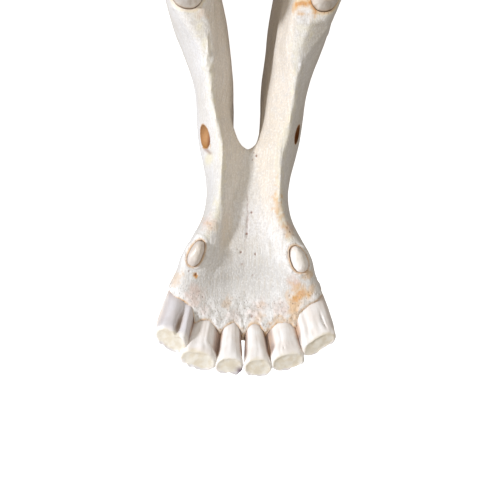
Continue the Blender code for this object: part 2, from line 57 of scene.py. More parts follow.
# Sections of one half of the bone: the crest as (distance along the jaw, height), the lower border as the
# same, the distances from the middle plane of the outer face, of the lower border, and of the inner face
SECTIONS = (
    ((14.5, 46.8), (12.8, 41.0), (8, 8.6, 9, 8.6, 8), 4, (-6, -7, -7, -6.5, -6, -5)),
    ((18.5, 49.5), (15.0, 38.0), (15.5, 16.5, 17, 16, 14), 8, (-7, -8, -7, -6.5, -5, 6)),
    ((23.0, 50.5), (20.0, 33.0), (21.5, 23, 23.3, 21, 17), 9, (-8, -9, -8, -4, 4, 14)),
    ((30.0, 50.7), (29.0, 27.5), (25.9, 27.9, 27.6, 23.4, 17.2), 8, (-8, -9, -8, 4, 14, 22)),
    ((38.0, 51.3), (38.0, 21.0), (23, 25, 24.9, 20.5, 14.5), 7, (-8, -9, -8, 3.5, 10.5, 16.5)),
    ((44.0, 52.2), (44.0, 16.0), (21.5, 23.6, 23, 19, 13.5), 6, (-8, -9, -8, 3, 9, 14)),
    ((50.0, 51.6), (50.0, 12.0), (17.2, 20, 20, 17.5, 13.3), 6, (-8, -9, -7.5, 2.8, 8.4, 12.4)),
    ((57.0, 50.5), (57.0, 8.5), (13.2, 16, 16.6, 15.3, 12.2), 6, (-8, -9, -7.5, 2.6, 7.4, 10.8)),
    ((66.0, 49.5), (66.0, 5.0), (11.9, 13.9, 15.1, 14.5, 12.3), 6.5, (-8, -9, -7, 2.4, 6.8, 10)),
    ((75.0, 49.5), (75.0, 2.5), (11.5, 14.2, 16.2, 15.7, 13.3), 7, (-7, -8, -6.5, 2.4, 6.8, 9.9)),
    ((81.8, 50.0), (81.8, 1.2), (11.9, 14.8, 17.8, 17.5, 14.4), 8, (-4.5, -4.5, -4, 3, 7.4, 10.3)),
    ((83.0, 50.1), (83.0, 0.9), (12.1, 15, 18.1, 17.8, 14.6), 8.3, (1.3, 1.1, 0.6, 3.2, 7.4, 10.6)),
    ((84.2, 50.2), (84.2, 0.7), (12.3, 15.3, 18.4, 18.1, 14.9), 8.6, (4.5, 3.6, 2.9, 4.1, 7.8, 10.9)),
    ((87.0, 50.4), (87.0, 0.3), (12.7, 15.6, 18.9, 18.7, 15.4), 9.6, (5.3, 4.4, 3.9, 5.2, 8.4, 11.2)),
    ((94.0, 51.1), (94.0, 0.0), (13.6, 16.4, 19.7, 19.6, 16.1), 10.5, (5.6, 5.4, 6.0, 7.0, 10, 12.4)),
    ((107.0, 53.5), (107.0, -0.6), (16, 18.1, 21.1, 21.0, 17.4), 12.3, (5.9, 6.1, 7.1, 8.2, 11.4, 13.9)),
    ((120.0, 56.8), (120.0, -0.6), (21, 23.2, 25.5, 25.4, 21.5), 14.6, (7.7, 7.9, 10.1, 11.3, 14.1, 16)),
    ((129.5, 59.8), (129.5, -0.4), (26, 27.7, 29.7, 29.5, 24.8), 16.6, (9, 9.3, 11.9, 12.9, 15, 15.9)),
    ((150.0, 64.5), (150.0, 0.2), (32.7, 34.2, 35.6, 34.6, 29.4), 21, (12.2, 14, 16.4, 16.6, 17, 17.4)),
    ((185.0, 71.5), (185.0, 1.0), (37.2, 39, 41, 40, 34.5), 28.5, (21, 21.6, 21.2, 20.8, 20.6, 20.8)),
    ((225.0, 80.0), (225.0, 1.8), (41.2, 43.5, 46.5, 46, 41.5), 36.5, (30.5, 28.5, 26, 25, 24.7, 24.8)),
    ((265.0, 89.0), (265.0, 3.0), (45.2, 48, 51.5, 52, 49), 45, (39.6, 36, 31.5, 30, 28.9, 28.8)),
    ((292.0, 96.0), (288.0, 4.0), (47.8, 50.8, 54.5, 56.5, 55.5), 51, (44.6, 40.6, 35.4, 34, 32.6, 32.4)),
    ((301.0, 110.0), (313.0, 0.7), (50, 53, 56.8, 60.5, 62.5), 57, (48.8, 45, 40.5, 39.6, 38.6, 38.5)),
    ((307.0, 133.0), (344.0, -1.6), (52.5, 54.3, 58, 62, 66.5), 62, (53.2, 50.3, 46, 45.2, 44, 44)),
    ((309.6, 143.7), (360.5, 6.3), (53.5, 55, 58, 62.4, 67.9), 63, (54.2, 51.5, 47.3, 46.5, 45.4, 45.3)),
    ((312.0, 154.0), (375.0, 19.0), (54.5, 55.7, 58.1, 62.7, 69), 64, (55, 52.6, 48.5, 47.8, 46.6, 46.5)),
    ((314.0, 162.5), (385.8, 35.5), (55.5, 56.4, 58.6, 63.2, 69.7), 65, (56, 53.6, 49.4, 48.8, 47.6, 47.5)),
    (
        (316.0, 171.0), (393.0, 54.0), (56.5, 57.3, 59.2, 63.8, 70.3), 65.5,
        (56.7, 54.6, 50.4, 49.8, 48.6, 48.5),
    ),
    (
        (320.0, 186.0), (398.9, 90.0), (58.3, 58.8, 60.5, 64.6, 70.7), 66.5,
        (58.3, 56.1, 52.2, 51.6, 50.8, 50.7),
    ),
    (
        (324.0, 197.0), (396.5, 125.0), (59.6, 60.3, 62, 66.3, 71.3), 67.5,
        (59.7, 57.6, 54, 53.4, 52.6, 52.4),
    ),
    (
        (328.0, 206.0), (392.0, 158.0), (61.2, 62.1, 63.7, 67.8, 72.4), 68.5,
        (61.2, 58.6, 55.6, 55.1, 54.5, 54.4),
    ),
    (
        (332.0, 212.0), (389.0, 184.0), (62.7, 63.7, 65.5, 69.4, 73.5), 69.5,
        (62.5, 59.8, 57.4, 56.9, 56.4, 56.3),
    ),
)

# Rings of the coronoid and of the condyle's neck: the centre as (x, along, height), half the width in the side
# view, half the thickness, and the lean of the width from level in degrees
CORONOID = (
    ((58.6, 337.0, 178.0), 13.6, 2.6, -24),
    ((59.3, 339.5, 192.0), 14.0, 2.8, -24),
    ((60.0, 342.6, 207.0), 13.0, 3.3, -22),
    ((60.8, 346.2, 221.0), 10.2, 3.2, -24),
    ((61.8, 351.5, 234.0), 7.6, 2.8, -32),
    ((62.4, 357.5, 244.0), 5.4, 2.3, -42),
    ((62.8, 361.5, 249.0), 2.6, 1.3, -48),
)
CONDYLE_NECK = (
    ((67.4, 381.5, 158.0), 9.5, 3.6, -10),
    ((68.0, 381.5, 172.0), 9.5, 4.6, -8),
    ((68.8, 381.5, 186.0), 8.4, 6.0, -5),
    ((69.3, 382.5, 198.0), 7.2, 10.5, 0),
    ((69.3, 382.8, 206.0), 6.4, 16.5, 0),
)
# The condyle is a roller across the jaw: its centre, half its depth and half its height
CONDYLE = (
    ((47.5, 387.5, 205.0), 2.0, 1.6),
    ((49.5, 387.0, 205.6), 5.6, 4.2),
    ((56.0, 385.6, 207.2), 7.4, 5.8),
    ((64.0, 384.0, 208.6), 7.6, 6.2),
    ((73.0, 382.4, 208.6), 7.5, 6.0),
    ((82.0, 381.0, 207.8), 7.0, 5.6),
    ((88.5, 380.2, 206.6), 5.2, 4.0),
    ((90.5, 380.0, 206.2), 1.8, 1.4),
)
# The dip between the coronoid and the condyle: the middle of its arc, and the arc's radius
MANDIBULAR_NOTCH = (364.0, 209.0, 14.0)

# Incisors: the side, the centre of the worn table, half its length and half its depth, how far the crown
# points outwards and how far its table is turned, in degrees, the share of its width that is left at the
# neck, and how much further its outer side reaches to the middle of the jaw. The two sides of the real jaw
# differ a little.
INCISORS = {
    "incisor_1_left": (1, (4.25, 4.4, 57.0), 5.0, 3.35, 4, 1, 0.68, 0.0),
    "incisor_1_right": (-1, (5.95, 4.8, 57.0), 5.0, 3.05, 4, 3, 0.71, 0.05),
    "incisor_2_left": (1, (14.85, 6.8, 57.0), 6.2, 3.1, 10, 14.5, 0.9, 0.3),
    "incisor_2_right": (-1, (17.05, 6.6, 57.0), 6.65, 3.25, 13.5, 14.5, 0.8, 0.4),
    "incisor_3_left": (1, (25.9, 13.4, 56.8), 6.6, 2.8, 14, 31, 0.97, 0.0),
    "incisor_3_right": (-1, (26.8, 13.2, 56.8), 6.4, 3.2, 17, 31, 0.97, 0.0),
}
# How steeply the incisors rise, and how steeply their tables fall to the front, in degrees
INCISOR_RISE = 34.0
TABLE_SLOPE = 25.0
# Down an incisor from its table: the distance, the share of the way to the width of the neck, the share of
# that width, and the share of its depth that is left
INCISOR_TAPER = (
    (0.0, 0.0, 0.96, 0.92),
    (1.2, 0.0, 1.0, 1.0),
    (4.0, 0.33, 1.0, 1.05),
    (9.0, 0.68, 1.0, 1.04),
    (12.0, 0.88, 1.0, 0.98),
    (15.0, 1.0, 1.0, 0.9),
    (19.0, 1.0, 0.97, 0.84),
    (27.0, 1.0, 0.7, 0.6),
)
# Folds and ridges on the inner face of each incisor: where across it (-1 is its edge nearest the middle of the
# jaw, 1 the other one) and how far down, half their width and half their length, and their height. A height
# below zero is a groove.
INCISOR_FOLDS = {
    "incisor_1_left": ((0.5, 3.0, 0.25, 3.0, 0.2), (-0.5, 7.0, 0.3, 5.0, 0.15), (-0.1, 1.6, 0.2, 1.2, -0.2)),
    "incisor_1_right": ((0.15, 6.0, 0.4, 6.0, 0.2), (0.8, 2.0, 0.2, 2.0, -0.3), (-0.4, 1.8, 0.2, 1.2, 0.2)),
    "incisor_2_left": (
        (-0.62, 8.0, 0.2, 7.0, 0.2), (-0.32, 6.0, 0.16, 5.0, -0.1), (0.1, 8.0, 0.3, 6.0, 0.2),
        (-0.22, 2.2, 0.08, 1.3, 0.35), (0.02, 2.6, 0.08, 1.5, 0.35), (-0.1, 3.2, 0.06, 1.2, -0.2),
        (0.5, 5.0, 0.2, 5.0, -0.15),
    ),
    "incisor_2_right": (
        (-0.42, 7.0, 0.26, 9.0, 0.34), (-0.08, 6.0, 0.12, 6.0, -0.15), (0.42, 6.0, 0.3, 8.0, -0.5),
        (0.0, 2.2, 0.14, 1.6, 0.35), (0.85, 5.0, 0.15, 6.0, 0.2),
    ),
    "incisor_3_left": (
        (-0.72, 7.0, 0.16, 9.0, 0.45), (-0.4, 6.0, 0.15, 6.0, -0.35), (-0.02, 8.0, 0.25, 7.0, 0.25),
        (0.3, 4.0, 0.12, 3.0, -0.15), (0.7, 6.5, 0.07, 3.5, -1.0), (-0.1, 2.6, 0.1, 1.6, -0.3),
    ),
    "incisor_3_right": (
        (0.55, 8.0, 0.3, 9.0, 0.6), (-0.06, 4.8, 0.2, 4.6, -1.6), (-0.12, 9.5, 0.14, 4.5, -0.9),
        (-0.55, 7.5, 0.22, 9.0, 1.3), (-0.92, 4.5, 0.12, 4.0, -0.4), (0.2, 1.4, 0.2, 1.5, 0.4),
    ),
}

# Canines: the side, the foot of the root and the top of the crown, how far the crown's length is turned from
# the jaw's, in degrees, and the shares of the length and the width below
CANINES = {
    "canine_left": (1, (17.1, 45.9, 41.0), (18.3, 42.6, 56.6), 24, 0.96, 1.08),
    "canine_right": (-1, (18.0, 46.6, 41.0), (19.1, 43.5, 56.6), 22, 0.95, 0.94),
}
# Up a canine from its root: the share of the way, and half its length and half its width
CANINE_TAPER = (
    (0.0, 3.0, 1.8),
    (0.05, 3.5, 2.1),
    (0.4, 5.0, 2.6),
    (0.7, 5.05, 2.55),
    (0.84, 5.0, 2.5),
    (0.93, 4.2, 2.0),
    (0.98, 2.8, 1.3),
    (1.0, 1.2, 0.6),
)

# The row of cheek teeth: each tooth's length along the row and its greatest width
CHEEK_TEETH = (
    ("premolar_2", 29.0, 12.8),
    ("premolar_3", 26.8, 13.8),
    ("premolar_4", 26.0, 14.0),
    ("molar_1", 24.6, 13.4),
    ("molar_2", 25.0, 12.8),
    ("molar_3", 29.0, 11.6),
)
TOOTH_SPACING = 0.5
# The two ends of the row, level with the bone, the height of the crowns at them, the depth of the roots, and
# how much the tops of the crowns fall for each step to the outer side
ROW_FRONT = (23.4, 131.0, 59.8)
ROW_BACK = (39.6, 291.5, 96.2)
CROWN_FRONT = 13.0
CROWN_BACK = 9.5
ROOT_DEPTH = 17.0
CROWN_SLOPE = 0.14

# Outlines of the cheek teeth from above, from the front edge round the outer side, as shares of half the
# length and half the width
MIDDLE_OUTLINE = (
    (-1.0, -0.1), (-0.93, 0.62), (-0.58, 0.98), (-0.2, 0.86), (-0.04, 0.5), (0.12, 0.84),
    (0.52, 1.0), (0.93, 0.66), (1.0, 0.0), (0.88, -0.72), (0.6, -0.86), (0.36, -0.7),
    (0.16, -0.98), (-0.06, -0.74), (-0.28, -1.0), (-0.52, -0.7), (-0.8, -0.86),
)
FRONT_OUTLINE = (
    (-1.0, -0.05), (-0.93, 0.5), (-0.72, 0.86), (-0.36, 0.92), (-0.04, 0.58), (0.14, 0.86),
    (0.54, 1.0), (0.93, 0.7), (1.0, 0.0), (0.88, -0.74), (0.6, -0.88), (0.38, -0.7),
    (0.18, -0.98), (-0.04, -0.74), (-0.34, -0.94), (-0.68, -0.84), (-0.92, -0.52),
)
BACK_OUTLINE = (
    (-1.0, -0.1), (-0.94, 0.62), (-0.68, 1.0), (-0.38, 0.86), (-0.24, 0.48), (-0.1, 0.82),
    (0.16, 0.94), (0.46, 0.5), (0.76, 0.5), (1.0, 0.06), (0.84, -0.46), (0.52, -0.4),
    (0.24, -0.84), (0.0, -0.66), (-0.26, -0.98), (-0.52, -0.7), (-0.82, -0.88),
)
# Lines of enamel inside a cheek tooth's rim, as shares of half its length and half its width: the front
# valley, the back valley and the double knot on the inner side
ENAMEL_LINES = (
    ((-0.72, -0.35), (-0.6, 0.1), (-0.36, 0.36), (-0.22, 0.2), (-0.34, -0.1), (-0.5, -0.3), (-0.66, -0.5)),
    (
        (0.74, -0.4), (0.66, 0.08), (0.44, 0.4), (0.2, 0.38), (0.1, 0.14), (0.34, 0.08), (0.5, -0.16),
        (0.6, -0.5),
    ),
    ((-0.08, -0.7), (-0.1, -0.2), (-0.02, 0.02), (0.06, -0.2), (0.02, -0.7)),
)

# The gap round a tooth in its socket, how far the socket's cutter stands out above it, and its points
SOCKET_GAP = 0.12
SOCKET_MOUTH = 7.0
SOCKET_POINTS = 64


def place(x, along, height):
    """A point of the jaw in metres, from millimetres: across, back from the incisor tips, up."""
    return Vector((x, along - JAW_MIDDLE, height)) * MM


def smooth_path(points, knots, wanted):
    """Reads a smooth curve through the points, which lie at the knots, at the wanted knot values."""
    last = len(points) - 1
    slopes = []
    for i in range(last + 1):
        before, after = max(i - 1, 0), min(i + 1, last)
        slopes.append((points[after] - points[before]) / (knots[after] - knots[before]))
    read = []
    for value in wanted:
        i = max(k for k in range(last) if knots[k] <= value or k == 0)
        span = knots[i + 1] - knots[i]
        t = (value - knots[i]) / span
        read.append(
            points[i] * (2 * t**3 - 3 * t**2 + 1)
            + slopes[i] * span * (t**3 - 2 * t**2 + t)
            + points[i + 1] * (3 * t**2 - 2 * t**3)
            + slopes[i + 1] * span * (t**3 - t**2)
        )
    return read


def rounded(ring, steps):
    """The ring as a smooth closed outline, with this many points to each of its spans."""
    around = ring[-2:] + ring + ring[:3]
    wanted = [i / steps for i in range(len(ring) * steps)]
    return smooth_path(around, list(range(-2, len(ring) + 3)), wanted)


def filled_in(rows, steps):
    """Rows of numbers, with this many smooth steps between each two of them."""
    points = [np.array(row, dtype=float) for row in rows]
    wanted = [i / steps for i in range((len(rows) - 1) * steps + 1)]
    return smooth_path(points, list(range(len(rows))), wanted)


def mirrored(rings, side):
    """The rings, on the animal's left side (1) or its right side (-1)."""
    return [[Vector((side * p.x, p.y, p.z)) for p in ring] for ring in rings]


def loft(bm, rings):
    """Adds a closed skin through rings of as many points each, every one drawn out of the one before."""
    ring = bmesh.ops.create_circle(bm, segments=len(rings[0]), radius=1.0)["verts"]
    edges = list({edge for vertex in ring for edge in vertex.link_edges})
    for vertex, point in zip(ring, rings[0]):
        vertex.co = point
    ends = bmesh.ops.contextual_create(bm, geom=edges)["faces"]
    for points in rings[1:]:
        grown = bmesh.ops.extrude_edge_only(bm, edges=edges)["geom"]
        fresh = {part for part in grown if isinstance(part, bmesh.types.BMVert)}
        ring = [next(e.other_vert(v) for e in v.link_edges if e.other_vert(v) in fresh) for v in ring]
        for vertex, point in zip(ring, points):
            vertex.co = point
        edges = [e for e in grown if isinstance(e, bmesh.types.BMEdge) and set(e.verts) <= fresh]
    ends += bmesh.ops.contextual_create(bm, geom=edges)["faces"]
    bmesh.ops.poke(bm, faces=ends)


def new_piece(name, bm):
    """An object from a bmesh, with its faces pointing out."""
    bmesh.ops.recalc_face_normals(bm, faces=bm.faces)
    mesh = bpy.data.meshes.new(name)
    bm.to_mesh(mesh)
    bm.free()
    made = bpy.data.objects.new(name, mesh)
    bpy.context.scene.collection.objects.link(made)
    return made


def settle(piece):
    """Makes the piece's modifiers part of its mesh."""
    bpy.context.view_layer.update()
    shaped = piece.evaluated_get(bpy.context.evaluated_depsgraph_get())
    mesh = bpy.data.meshes.new_from_object(shaped)
    piece.modifiers.clear()
    old, piece.data = piece.data, mesh
    bpy.data.meshes.remove(old)
    mesh.name = piece.name


def even_skin(piece, spacing):
    """One skin of evenly spaced points over everything in the piece, in millimetres."""
    modifier = piece.modifiers.new("even skin", "REMESH")
    modifier.mode = "VOXEL"
    modifier.voxel_size = spacing * MM
    settle(piece)


def cut(piece, cutter):
    """Takes the cutter's shape out of the piece."""
    modifier = piece.modifiers.new("cut", "BOOLEAN")
    modifier.operation = "DIFFERENCE"
    modifier.solver = "MANIFOLD"
    modifier.object = cutter
    settle(piece)
    bpy.data.objects.remove(cutter)


def read_points(mesh):
    """The mesh's points and normals as arrays, in metres."""
    points = np.empty(len(mesh.vertices) * 3)
    mesh.vertices.foreach_get("co", points)
    normals = np.empty(len(mesh.vertices) * 3)
    mesh.vertex_normals.foreach_get("vector", normals)
    return points.reshape(-1, 3), normals.reshape(-1, 3)


def write_points(mesh, points):
    """Moves the mesh's points to these places, in metres."""
    mesh.vertices.foreach_set("co", points.ravel())
    mesh.update()


# Shares of the way that relax draws the points in, and out again
RELAX_IN = 0.5
RELAX_OUT = 0.52


def relax(mesh, times):
    """Draws each point towards the middle of its neighbours, and back again so that nothing shrinks."""
    points, _ = read_points(mesh)
    edges = np.empty(len(mesh.edges) * 2, dtype=np.int64)
    mesh.edges.foreach_get("vertices", edges)
    a, b = edges.reshape(-1, 2).T
    count = len(points)
    around = (np.bincount(a, minlength=count) + np.bincount(b, minlength=count))[:, None]
    for _ in range(times):
        for step in (RELAX_IN, -RELAX_OUT):
            total = np.stack(
                [np.bincount(a, points[b, k], count) + np.bincount(b, points[a, k], count) for k in range(3)],
                axis=1,
            )
            points = points + step * (total / around - points)
    write_points(mesh, points)


def lumps(points, size, octaves=2, shift=0.0):
    """Smooth uneven relief, about -1 to 1, at points in millimetres. size is its lumps' along each axis."""
    scaled = points / np.array(size) + shift
    return np.array([noise.fractal(Vector(p), 0.9, 2.0, octaves) for p in scaled])


def jaw_places(points):
    """Across, back from the incisor tips, and up, in millimetres."""
    return points / MM + np.array((0.0, JAW_MIDDLE, 0.0))


def near(value, middle, width):
    """1 at the middle, falling smoothly to 0 about two widths away."""
    return np.exp(-(((value - middle) / width) ** 2))


def ramp(value, low, high):
    """0 below low, 1 above high, and smooth between them. Where low is above high, it falls instead."""
    t = np.clip((value - low) / (high - low), 0, 1)
    return t * t * (3 - 2 * t)


def fuller(value, power):
    """A cosine or sine drawn out by a power below 1, which makes a round outline more square."""
    return math.copysign(abs(value) ** power, value)


def oval_size(u, v, power):
    """How large the full oval through u, v is, where the one that reaches 1 both ways has size 1."""
    return (np.abs(u) ** power + np.abs(v) ** power) ** (1 / power)


def read_table(rows, values, column):
    """Reads a column of the rows where their first column has these values."""
    table = np.array(rows)
    return np.interp(values, table[:, 0], table[:, column])


def line_distance(points, line):
    """Distance of each 2-D point from a line of 2-D points."""
    nearest = np.full(len(points), np.inf)
    for a, b in zip(line, line[1:]):
        a, b = np.array(a), np.array(b)
        way = b - a
        t = np.clip(((points - a) @ way) / (way @ way), 0, 1)
        nearest = np.minimum(nearest, np.linalg.norm(points - a - t[:, None] * way, axis=1))
    return nearest


def store(mesh, name, values):
    """Keeps one number for each point, for the finish to read."""
    attribute = mesh.attributes.new(name, "FLOAT", "POINT")
    attribute.data.foreach_set("value", np.clip(values, 0, 1).astype(np.float32))


def crisp(mesh, angle):
    """Smooth shading, with the edges that turn by more than the angle kept sharp."""
    bm = bmesh.new()
    bm.from_mesh(mesh)
    limit = math.radians(angle)
    for face in bm.faces:
        face.smooth = True
    for edge in bm.edges:
        edge.smooth = len(edge.link_faces) == 2 and edge.calc_face_angle() < limit
    bm.to_mesh(mesh)
    bm.free()


# Incisors

# Rings over the rim of an incisor's worn table, as the distance down and the share of the table's size, and
# over the dished dentine inside it, as that share and the depth of the dish
TABLE_RIM = ((0.6, 0.995), (0.3, 0.98), (0.12, 0.955), (0.03, 0.925))
TABLE_DISH = (
    (0.895, -0.02), (0.86, 0.0), (0.82, 0.06), (0.76, 0.13), (0.68, 0.19), (0.56, 0.24), (0.42, 0.24),
    (0.28, 0.2), (0.14, 0.2),
)
INCISOR_POINTS = 96
INCISOR_FULLNESS = 0.82
# Down from an incisor's table: where the bone begins, where the root is rounded off, and the end of the root
SOCKET_TOP = 9.0
ROOT_ROUNDED = 26.6
INCISOR_LENGTH = 27.0


def incisor_ways(shape):
    """Centre of an incisor's table, and the ways up its axis, across it, to its outer face and off it."""
    side, table, _, _, outwards, turn, _, _ = shape
    aim, rise = math.radians(outwards), math.radians(INCISOR_RISE)
    axis = Vector((math.sin(aim) * math.cos(rise), -math.cos(aim) * math.cos(rise), math.sin(rise)))
    facing, slope = math.radians(turn), math.radians(TABLE_SLOPE)
    labial = Vector((math.sin(facing), -math.cos(facing), 0))
    table_way = labial * math.sin(slope) + Vector((0, 0, math.cos(slope)))
    long_way = Vector((math.cos(facing), math.sin(facing), 0))
    wide_way = (long_way - axis * long_way.dot(axis)).normalized()
    deep_way = wide_way.cross(axis)
    flip = Vector((side, 1, 1))
    return [place(*table) * flip] + [way * flip for way in (axis, wide_way, deep_way, table_way)]


def incisor_size(shape, down):
    """Half the width and half the depth of an incisor at distances down from its table."""
    _, _, half_width, half_depth, _, _, neck, _ = shape
    way, wide, deep = (read_table(INCISOR_TAPER, down, column) for column in (1, 2, 3))
    return half_width * (1 + (neck - 1) * way) * wide, half_depth * deep


def flared(shape, u, v, down):
    """The share of its width that an incisor has at u across and v to its outer side, down from its table."""
    return 1 + (0.1 + (0.14 + shape[7] * (u < 0)) * ramp(down, 2, 7)) * v


def fold_height(name, u, down):
    """How far an incisor's folds stand out at u across it, down from its table."""
    return sum(
        height * near(u, fold_u, wide) * near(down, fold_down, long)
        for fold_u, fold_down, wide, long, height in INCISOR_FOLDS[name]
    )


def incisor_levels():
    """An incisor's rings from its root: the distance down, the share of its outline and the dish's depth."""
    levels = [(INCISOR_LENGTH, share, 0.0) for share in (0.35, 0.7, 0.92)]
    levels += [(down, 1.0, 0.0) for down in np.linspace(ROOT_ROUNDED, 1.1, 52)]
    levels += [(down, share, 0.0) for down, share in TABLE_RIM]
    return levels + [(0.0, share, dip) for share, dip in TABLE_DISH]


def incisor_rings(name, shape):
    """Rings up an incisor from its root, over the rim of its worn table and into the dish of the table."""
    centre, axis, wide_way, deep_way, table_way = incisor_ways(shape)
    seed = 7 * shape[0] + shape[2]
    rings = []
    for down, share, dip in incisor_levels():
        half_width, half_depth = incisor_size(shape, down)
        slant = max(0.0, 1 - down / SOCKET_TOP)
        exposed = float(ramp(down, 18, 13))
        at_table = near(down, 0, 4)
        roughness = 0.1 if share < 0.87 else 0.03
        ring = []
        for i in range(INCISOR_POINTS):
            angle = 2 * math.pi * i / INCISOR_POINTS
            u, v = (fuller(part, INCISOR_FULLNESS) for part in (math.cos(angle), math.sin(angle)))
            fold = fold_height(name, u, down) * min(1.0, max(0.0, (0.1 - v) / 0.5))
            fold += 0.05 * noise.noise(Vector((u * 6, v * 3 + seed, down * 0.2)))
            ripple = noise.noise(Vector((u * 2.6 + seed, v * 2.6, down * 0.05)))
            lobes = noise.noise(Vector((u * 3.6 + 2 * seed, 0.5, down * 0.03)))
            outer = 0.05 * ripple + (0.3 * lobes + 0.06) * at_table * (v > 0)
            wide = u * flared(shape, u, v, down) * half_width * (1 + 0.04 * exposed * ripple)
            deep = v * half_depth * (1 + exposed * outer) - exposed * fold
            point = centre + (wide_way * wide + deep_way * deep) * share * MM - axis * down * MM
            point -= axis * (point + axis * down * MM - centre).dot(table_way) / axis.dot(table_way) * slant
            worn = noise.noise(Vector((point.x, point.y, seed * MM)) * 600) * roughness
            ring.append(point - table_way * (dip + worn) * MM)
        rings.append(ring)
    return rings


def incisor_socket_rings(shape):
    """Rings of an incisor's socket from its foot to well clear of the bone."""
    centre, axis, wide_way, deep_way, _ = incisor_ways(shape)
    foot, mouth = INCISOR_LENGTH + SOCKET_GAP, SOCKET_TOP - SOCKET_MOUTH
    rings = []
    for down in (foot, *np.linspace(ROOT_ROUNDED, SOCKET_TOP, 14), mouth):
        half_width, half_depth = incisor_size(shape, max(down, SOCKET_TOP))
        ring = []
        for i in range(SOCKET_POINTS):
            angle = 2 * math.pi * i / SOCKET_POINTS
            across, deep = math.cos(angle), math.sin(angle)
            flare = flared(shape, across, deep, SOCKET_TOP)
            u = fuller(across, INCISOR_FULLNESS) * flare * (half_width + SOCKET_GAP)
            v = fuller(deep, INCISOR_FULLNESS) * (half_depth + SOCKET_GAP)
            ring.append(centre + (wide_way * u + deep_way * v - axis * down) * MM)
        rings.append(ring)
    return rings


# Canines

CANINE_FULLNESS = 0.86
# How much narrower a canine is at the back of its crown than in the middle
CANINE_NARROWING = 0.12
# How far up a canine its socket follows it, as a share of its height
CANINE_SOCKET_TOP = 0.72


def canine_ways(shape):
    """The foot and the top of a canine, and the ways up its axis, along its crown and across it."""
    side, foot, top, turn, _, _ = shape
    foot, top = place(*foot), place(*top)
    axis = (top - foot).normalized()
    turn = math.radians(turn)
    long_way = Vector((-math.sin(turn), math.cos(turn), 0))
    long_way = (long_way - axis * long_way.dot(axis)).normalized()
    flip = Vector((side, 1, 1))
    return [foot * flip, top * flip] + [way * flip for way in (axis, long_way, axis.cross(long_way))]


def canine_rings(shape, gap=0.0):
    """Rings of a canine up from its root, or of its socket where a gap is given."""
    foot, top, axis, long_way, short_way = canine_ways(shape)
    rings = []
    for share, half_length, half_width in filled_in(CANINE_TAPER, 5):
        if gap and share > CANINE_SOCKET_TOP:
            continue
        half_length, half_width = half_length * shape[4], half_width * shape[5]
        ring = []
        for i in range(SOCKET_POINTS):
            turn = 2 * math.pi * i / SOCKET_POINTS
            along, across = (fuller(part, CANINE_FULLNESS) for part in (math.cos(turn), math.sin(turn)))
            reach = long_way * along * (half_length + gap)
            reach += short_way * across * (1 - CANINE_NARROWING * along) * (half_width + gap)
            ring.append(foot.lerp(top, share) + reach * MM)
        rings.append(ring)
    if gap:
        rings[0] = [point - axis * gap * MM for point in rings[0]]
        rings.append([point + axis * SOCKET_MOUTH * MM for point in rings[-1]])
    return rings


# Cheek teeth


def cheek_teeth():
    """Each cheek tooth's name, length, width and where it starts along the row."""
    start = 0.0
    for name, length, width in CHEEK_TEETH:
        yield name, length, width, start
        start += length + TOOTH_SPACING


def cheek_ways(length, start):
    """Centre of a cheek tooth level with the bone, the ways along, across and up, and its crown's height."""
    front, back = place(*ROW_FRONT), place(*ROW_BACK)
    along = (back - front).normalized()
    across = Vector((along.y, -along.x, 0)).normalized()
    centre = front + along * (start + length / 2) * MM
    share = (centre - front).length / (back - front).length
    return centre, along, across, across.cross(along), CROWN_FRONT + share * (CROWN_BACK - CROWN_FRONT)


def cheek_outline(name, steps=6):
    """The smooth outline of a cheek tooth from above, as shares of half its length and half its width."""
    rough = {"premolar_2": FRONT_OUTLINE, "molar_3": BACK_OUTLINE}.get(name, MIDDLE_OUTLINE)
    return rounded([Vector((u, v, 0)) for u, v in rough], steps)


def cheek_levels(crown):
    """A cheek tooth's rings up from its root: the height above the bone and the share of its outline."""
    levels = [(-ROOT_DEPTH, share) for share in (0.3, 0.6, 0.86)]
    for height in np.linspace(-16, -2, 8):
        levels.append((height, 0.9 + 0.1 * float(ramp(height, -ROOT_DEPTH, -2))))
    levels += [(height, 1.0) for height in np.linspace(-1, crown - 0.6, 18)]
    levels += [(crown - 0.25, 0.985), (crown - 0.05, 0.965)]
    return levels + [(crown, share) for share in np.linspace(0.94, 0.04, 24)]


def cheek_rings(name, length, width, start, side):
    """Rings of a cheek tooth up from its root, over the edge of its crown and across its grinding face."""
    centre, along, across, up, crown = cheek_ways(length, start)
    rings = []
    for height, size in cheek_levels(crown):
        ring = []
        for shape in cheek_outline(name):
            uneven = size
            if height > 0:
                ripple = noise.noise(Vector((shape.x * 9, shape.y * 9, height * 0.12 + side + start)))
                uneven *= 1 + 0.012 * ripple
            reach_along, reach_across = shape.x * length / 2 * uneven, shape.y * width / 2 * uneven
            if name == "premolar_2" and height > 0:
                reach_along += 0.34 * height * float(ramp(-shape.x, 0.2, 0.95)) * size
            here = height - (CROWN_SLOPE * reach_across if height > 0 else 0)
            ring.append(centre + (along * reach_along + across * reach_across + up * here) * MM)
        rings.append(ring)
    return rings


def cheek_socket_rings(name, length, width, start):
    """Rings of a cheek tooth's socket from its foot to well clear of the bone."""
    centre, along, across, up, _ = cheek_ways(length, start)
    foot = -ROOT_DEPTH - SOCKET_GAP
    rings = []
    for height, size in ((foot, 0.9), (-8, 0.97), (-2, 1.0), (2, 1.0), (SOCKET_MOUTH, 1.0)):
        rings.append([
            centre
            + along * (shape.x * (length / 2 * size + SOCKET_GAP)) * MM
            + across * (shape.y * (width / 2 * size + SOCKET_GAP)) * MM
            + up * height * MM
            for shape in cheek_outline(name, 4)
        ])
    return rings


# The bone

